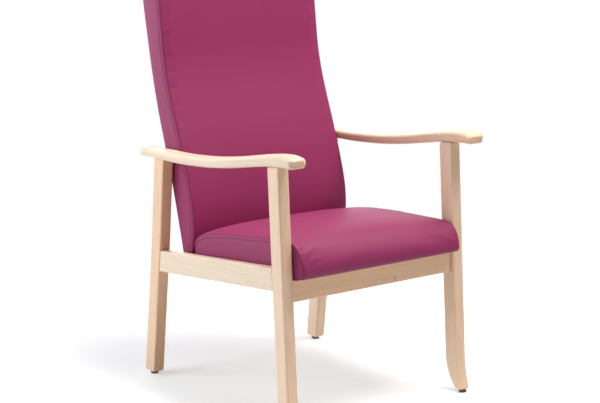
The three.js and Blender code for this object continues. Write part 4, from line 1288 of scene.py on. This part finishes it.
def back_is_held(place):
    """The back is held along its seams, at its board and at its foot."""
    on_seam = back_edge_distance(place.x, place.z) < FILL_PIN_BAND
    on_board = place.y > at(BACK_REAR, place.z, 1) - FILL_REAR_PIN_BAND
    at_foot = place.z < BACK_BOTTOM_Z + FILL_PIN_BAND
    return on_seam or on_board or at_foot


def seat_freedom(place):
    """The share of the filling's movement that the cushion takes: none against the back."""
    before_back = at(BACK_FRONT, place.z, 1) - place.y
    return clamp(before_back / FILL_SEAT_FADE)


def back_freedom(place):
    """The share of the filling's movement that the back takes: none behind the cushion."""
    above_seat = place.z - (SEAT_BASE_Z + SEAT_EDGE_HEIGHT)
    return clamp(above_seat / FILL_BACK_FADE)


def trial_pad(cover, is_held):
    """A closed, evenly meshed copy of a cover, with its held points grouped."""
    bm = bmesh.new()
    bm.from_mesh(cover.data)
    bmesh.ops.holes_fill(bm, edges=bm.edges, sides=0)
    bmesh.ops.triangulate(bm, faces=bm.faces)
    pad = mesh_object("trial_pad", bm)
    remesh = pad.modifiers.new("even", "REMESH")
    remesh.mode = "VOXEL"
    remesh.voxel_size = FILL_VOXEL
    apply_modifiers(pad)
    held = pad.vertex_groups.new(name="held")
    held.add([v.index for v in pad.data.vertices if is_held(v.co - SHIFT)], 1.0, "REPLACE")
    return pad


def blow_up(pad):
    """Runs the pad as cloth and gives where each point starts and how far it moves."""
    cloth = pad.modifiers.new("cloth", "CLOTH")
    cloth.settings.vertex_group_mass = "held"
    cloth.settings.quality = FILL_QUALITY
    cloth.settings.use_pressure = True
    cloth.settings.uniform_pressure_force = FILL_PRESSURE
    cloth.settings.shrink_min = FILL_GROWTH
    cloth.settings.effector_weights.gravity = 0
    cloth.collision_settings.use_collision = False
    cloth.collision_settings.use_self_collision = False
    starts = [v.co.copy() for v in pad.data.vertices]
    scene = bpy.context.scene
    for frame_number in range(1, FILL_FRAMES + 1):
        scene.frame_set(frame_number)
    shaped = pad.evaluated_get(bpy.context.evaluated_depsgraph_get()).data
    moves = []
    for start, vertex in zip(starts, shaped.vertices):
        move = vertex.co - start
        if move.length > FILL_TRAVEL:
            move *= FILL_TRAVEL / move.length
        moves.append(move)
    scene.frame_set(1)
    bpy.data.objects.remove(pad)
    return starts, moves


def fill(cover, followers, is_held, freedom):
    """Fills a cover: it and its stitches follow the nearest points of the pad."""
    starts, moves = blow_up(trial_pad(cover, is_held))
    tree = KDTree(len(starts))
    for k, start in enumerate(starts):
        tree.insert(start, k)
    tree.balance()
    for piece in [cover] + followers:
        for vertex in piece.data.vertices:
            total = 0.0
            move = Vector((0, 0, 0))
            for _, k, distance in tree.find_n(vertex.co, FILL_NEIGHBOURS):
                weight = 1 / (distance + FILL_SOFTENING) ** 2
                move += moves[k] * weight
                total += weight
            vertex.co += move / total * freedom(vertex.co - SHIFT)


# Studio

def studio_floor():
    bm = bmesh.new()
    bm.faces.new(circle(bm, Vector((0, 0, 0)), FLOOR_RADIUS, FLOOR_SIDES))
    floor = mesh_object("floor", bm)
    floor.data.materials.append(floor_material())


def surroundings():
    """Dim white light from all around, shown as plain white to the eye."""
    world = bpy.data.worlds.new("studio")
    bpy.context.scene.world = world
    world.use_nodes = True
    nodes = world.node_tree.nodes
    links = world.node_tree.links
    ambient = nodes["Background"]
    shown = nodes.new("ShaderNodeBackground")
    for background, strength in ((ambient, AMBIENT), (shown, 1.0)):
        background.inputs["Color"].default_value = rgba(WHITE)
        background.inputs["Strength"].default_value = strength
    mix = nodes.new("ShaderNodeMixShader")
    links.new(seen_by_eye(world.node_tree), mix.inputs[0])
    links.new(ambient.outputs[0], mix.inputs[1])
    links.new(shown.outputs[0], mix.inputs[2])
    links.new(mix.outputs[0], nodes["World Output"].inputs["Surface"])


def soft_light(name, place, size, power, color):
    light = bpy.data.lights.new(name, "AREA")
    light.shape = "RECTANGLE"
    light.size, light.size_y = size
    light.energy = power
    light.color = color
    lamp = add_object(name, light)
    lamp.location = place
    toward = LIGHT_AIM - Vector(place)
    lamp.rotation_euler = toward.to_track_quat("-Z", "Y").to_euler()


def camera():
    data = bpy.data.cameras.new("camera")
    data.sensor_width = SENSOR_MM
    data.lens = FOCAL_PX / IMAGE_WIDTH_PX * SENSOR_MM
    view = add_object("camera", data)
    view.location = CAMERA_PLACE + SHIFT
    view.rotation_euler = (math.pi / 2 - CAMERA_PITCH, 0, -CAMERA_TURN)
    bpy.context.scene.camera = view


# Assembly

camera()
studio_floor()
surroundings()
for light in LIGHTS:
    soft_light(*light)
bpy.context.scene.view_settings.view_transform = "Standard"

upright = beech("beech_upright", Z, BEECH_UPRIGHT_TONES, painted_front_light=True)
lengthways = beech("beech_lengthways", Y, BEECH_LENGTHWAYS_TONES, painted_front_light=True)
# Painted light: the front rail's beech is made warmer and brighter; its knot is its own
crossways = beech("beech_crossways", X, BEECH_CROSSWAYS_PAINTED_LIGHT_TONES, knot=KNOT)
# Painted light: the far arm gets its own warmer beech in place of the light on its inner side
far_arm_painted_light_beech = beech("beech_far_arm_painted_light", Y, BEECH_FAR_ARM_PAINTED_LIGHT_TONES, painted_front_light=True)
darker_upright = beech("darker_beech_upright", Z, BEECH_DARKER_TONES, painted_front_light=True)
bare_across = beech("bare_beech_across", X, BEECH_BARE_TONES, BARE_ROUGHNESS_RANGE)
bare_upright = beech("bare_beech_upright", Z, BEECH_BARE_TONES, BARE_ROUGHNESS_RANGE)
cover = vinyl("magenta_vinyl", VINYL_TONES, VINYL_ROUGHNESS_RANGE)
rear_vinyl = vinyl("magenta_vinyl_rear", REAR_VINYL_TONES, REAR_VINYL_ROUGHNESS_RANGE)
sewing = thread()
plastic = moulded_plastic()
steel = zinc_steel()
plywood = birch_plywood()
foam = open_foam()

for side, sign in SIDES:
    for end in ("front", "rear"):
        leg(end, side, darker_upright if (end, side) == ("rear", "right") else upright)
        glide(end, side, plastic)
    arm(side, far_arm_painted_light_beech if side == "left" else lengthways)
    side_rail(side, lengthways)
front_rail(crossways)
rear_cover(rear_vinyl)
fill(back_cover(cover), [back_stitches(sewing)], back_is_held, back_freedom)
seat_sewing = [seat_stitches(sewing, side, sign) for side, sign in SIDES]
fill(seat_cover(cover), seat_sewing, seat_is_held, seat_freedom)

CAD_LOOKS = [
    ("screw", steel), ("bolt", steel), ("bracket", steel), ("dowel", bare_upright), ("block", bare_upright),
    ("rear_rail", bare_across), ("board", plywood), ("foam", foam),
]
for name, node in NODES.items():
    for word, material in CAD_LOOKS:
        if word in name:
            node.data.materials.clear()
            node.data.materials.append(material)
            break
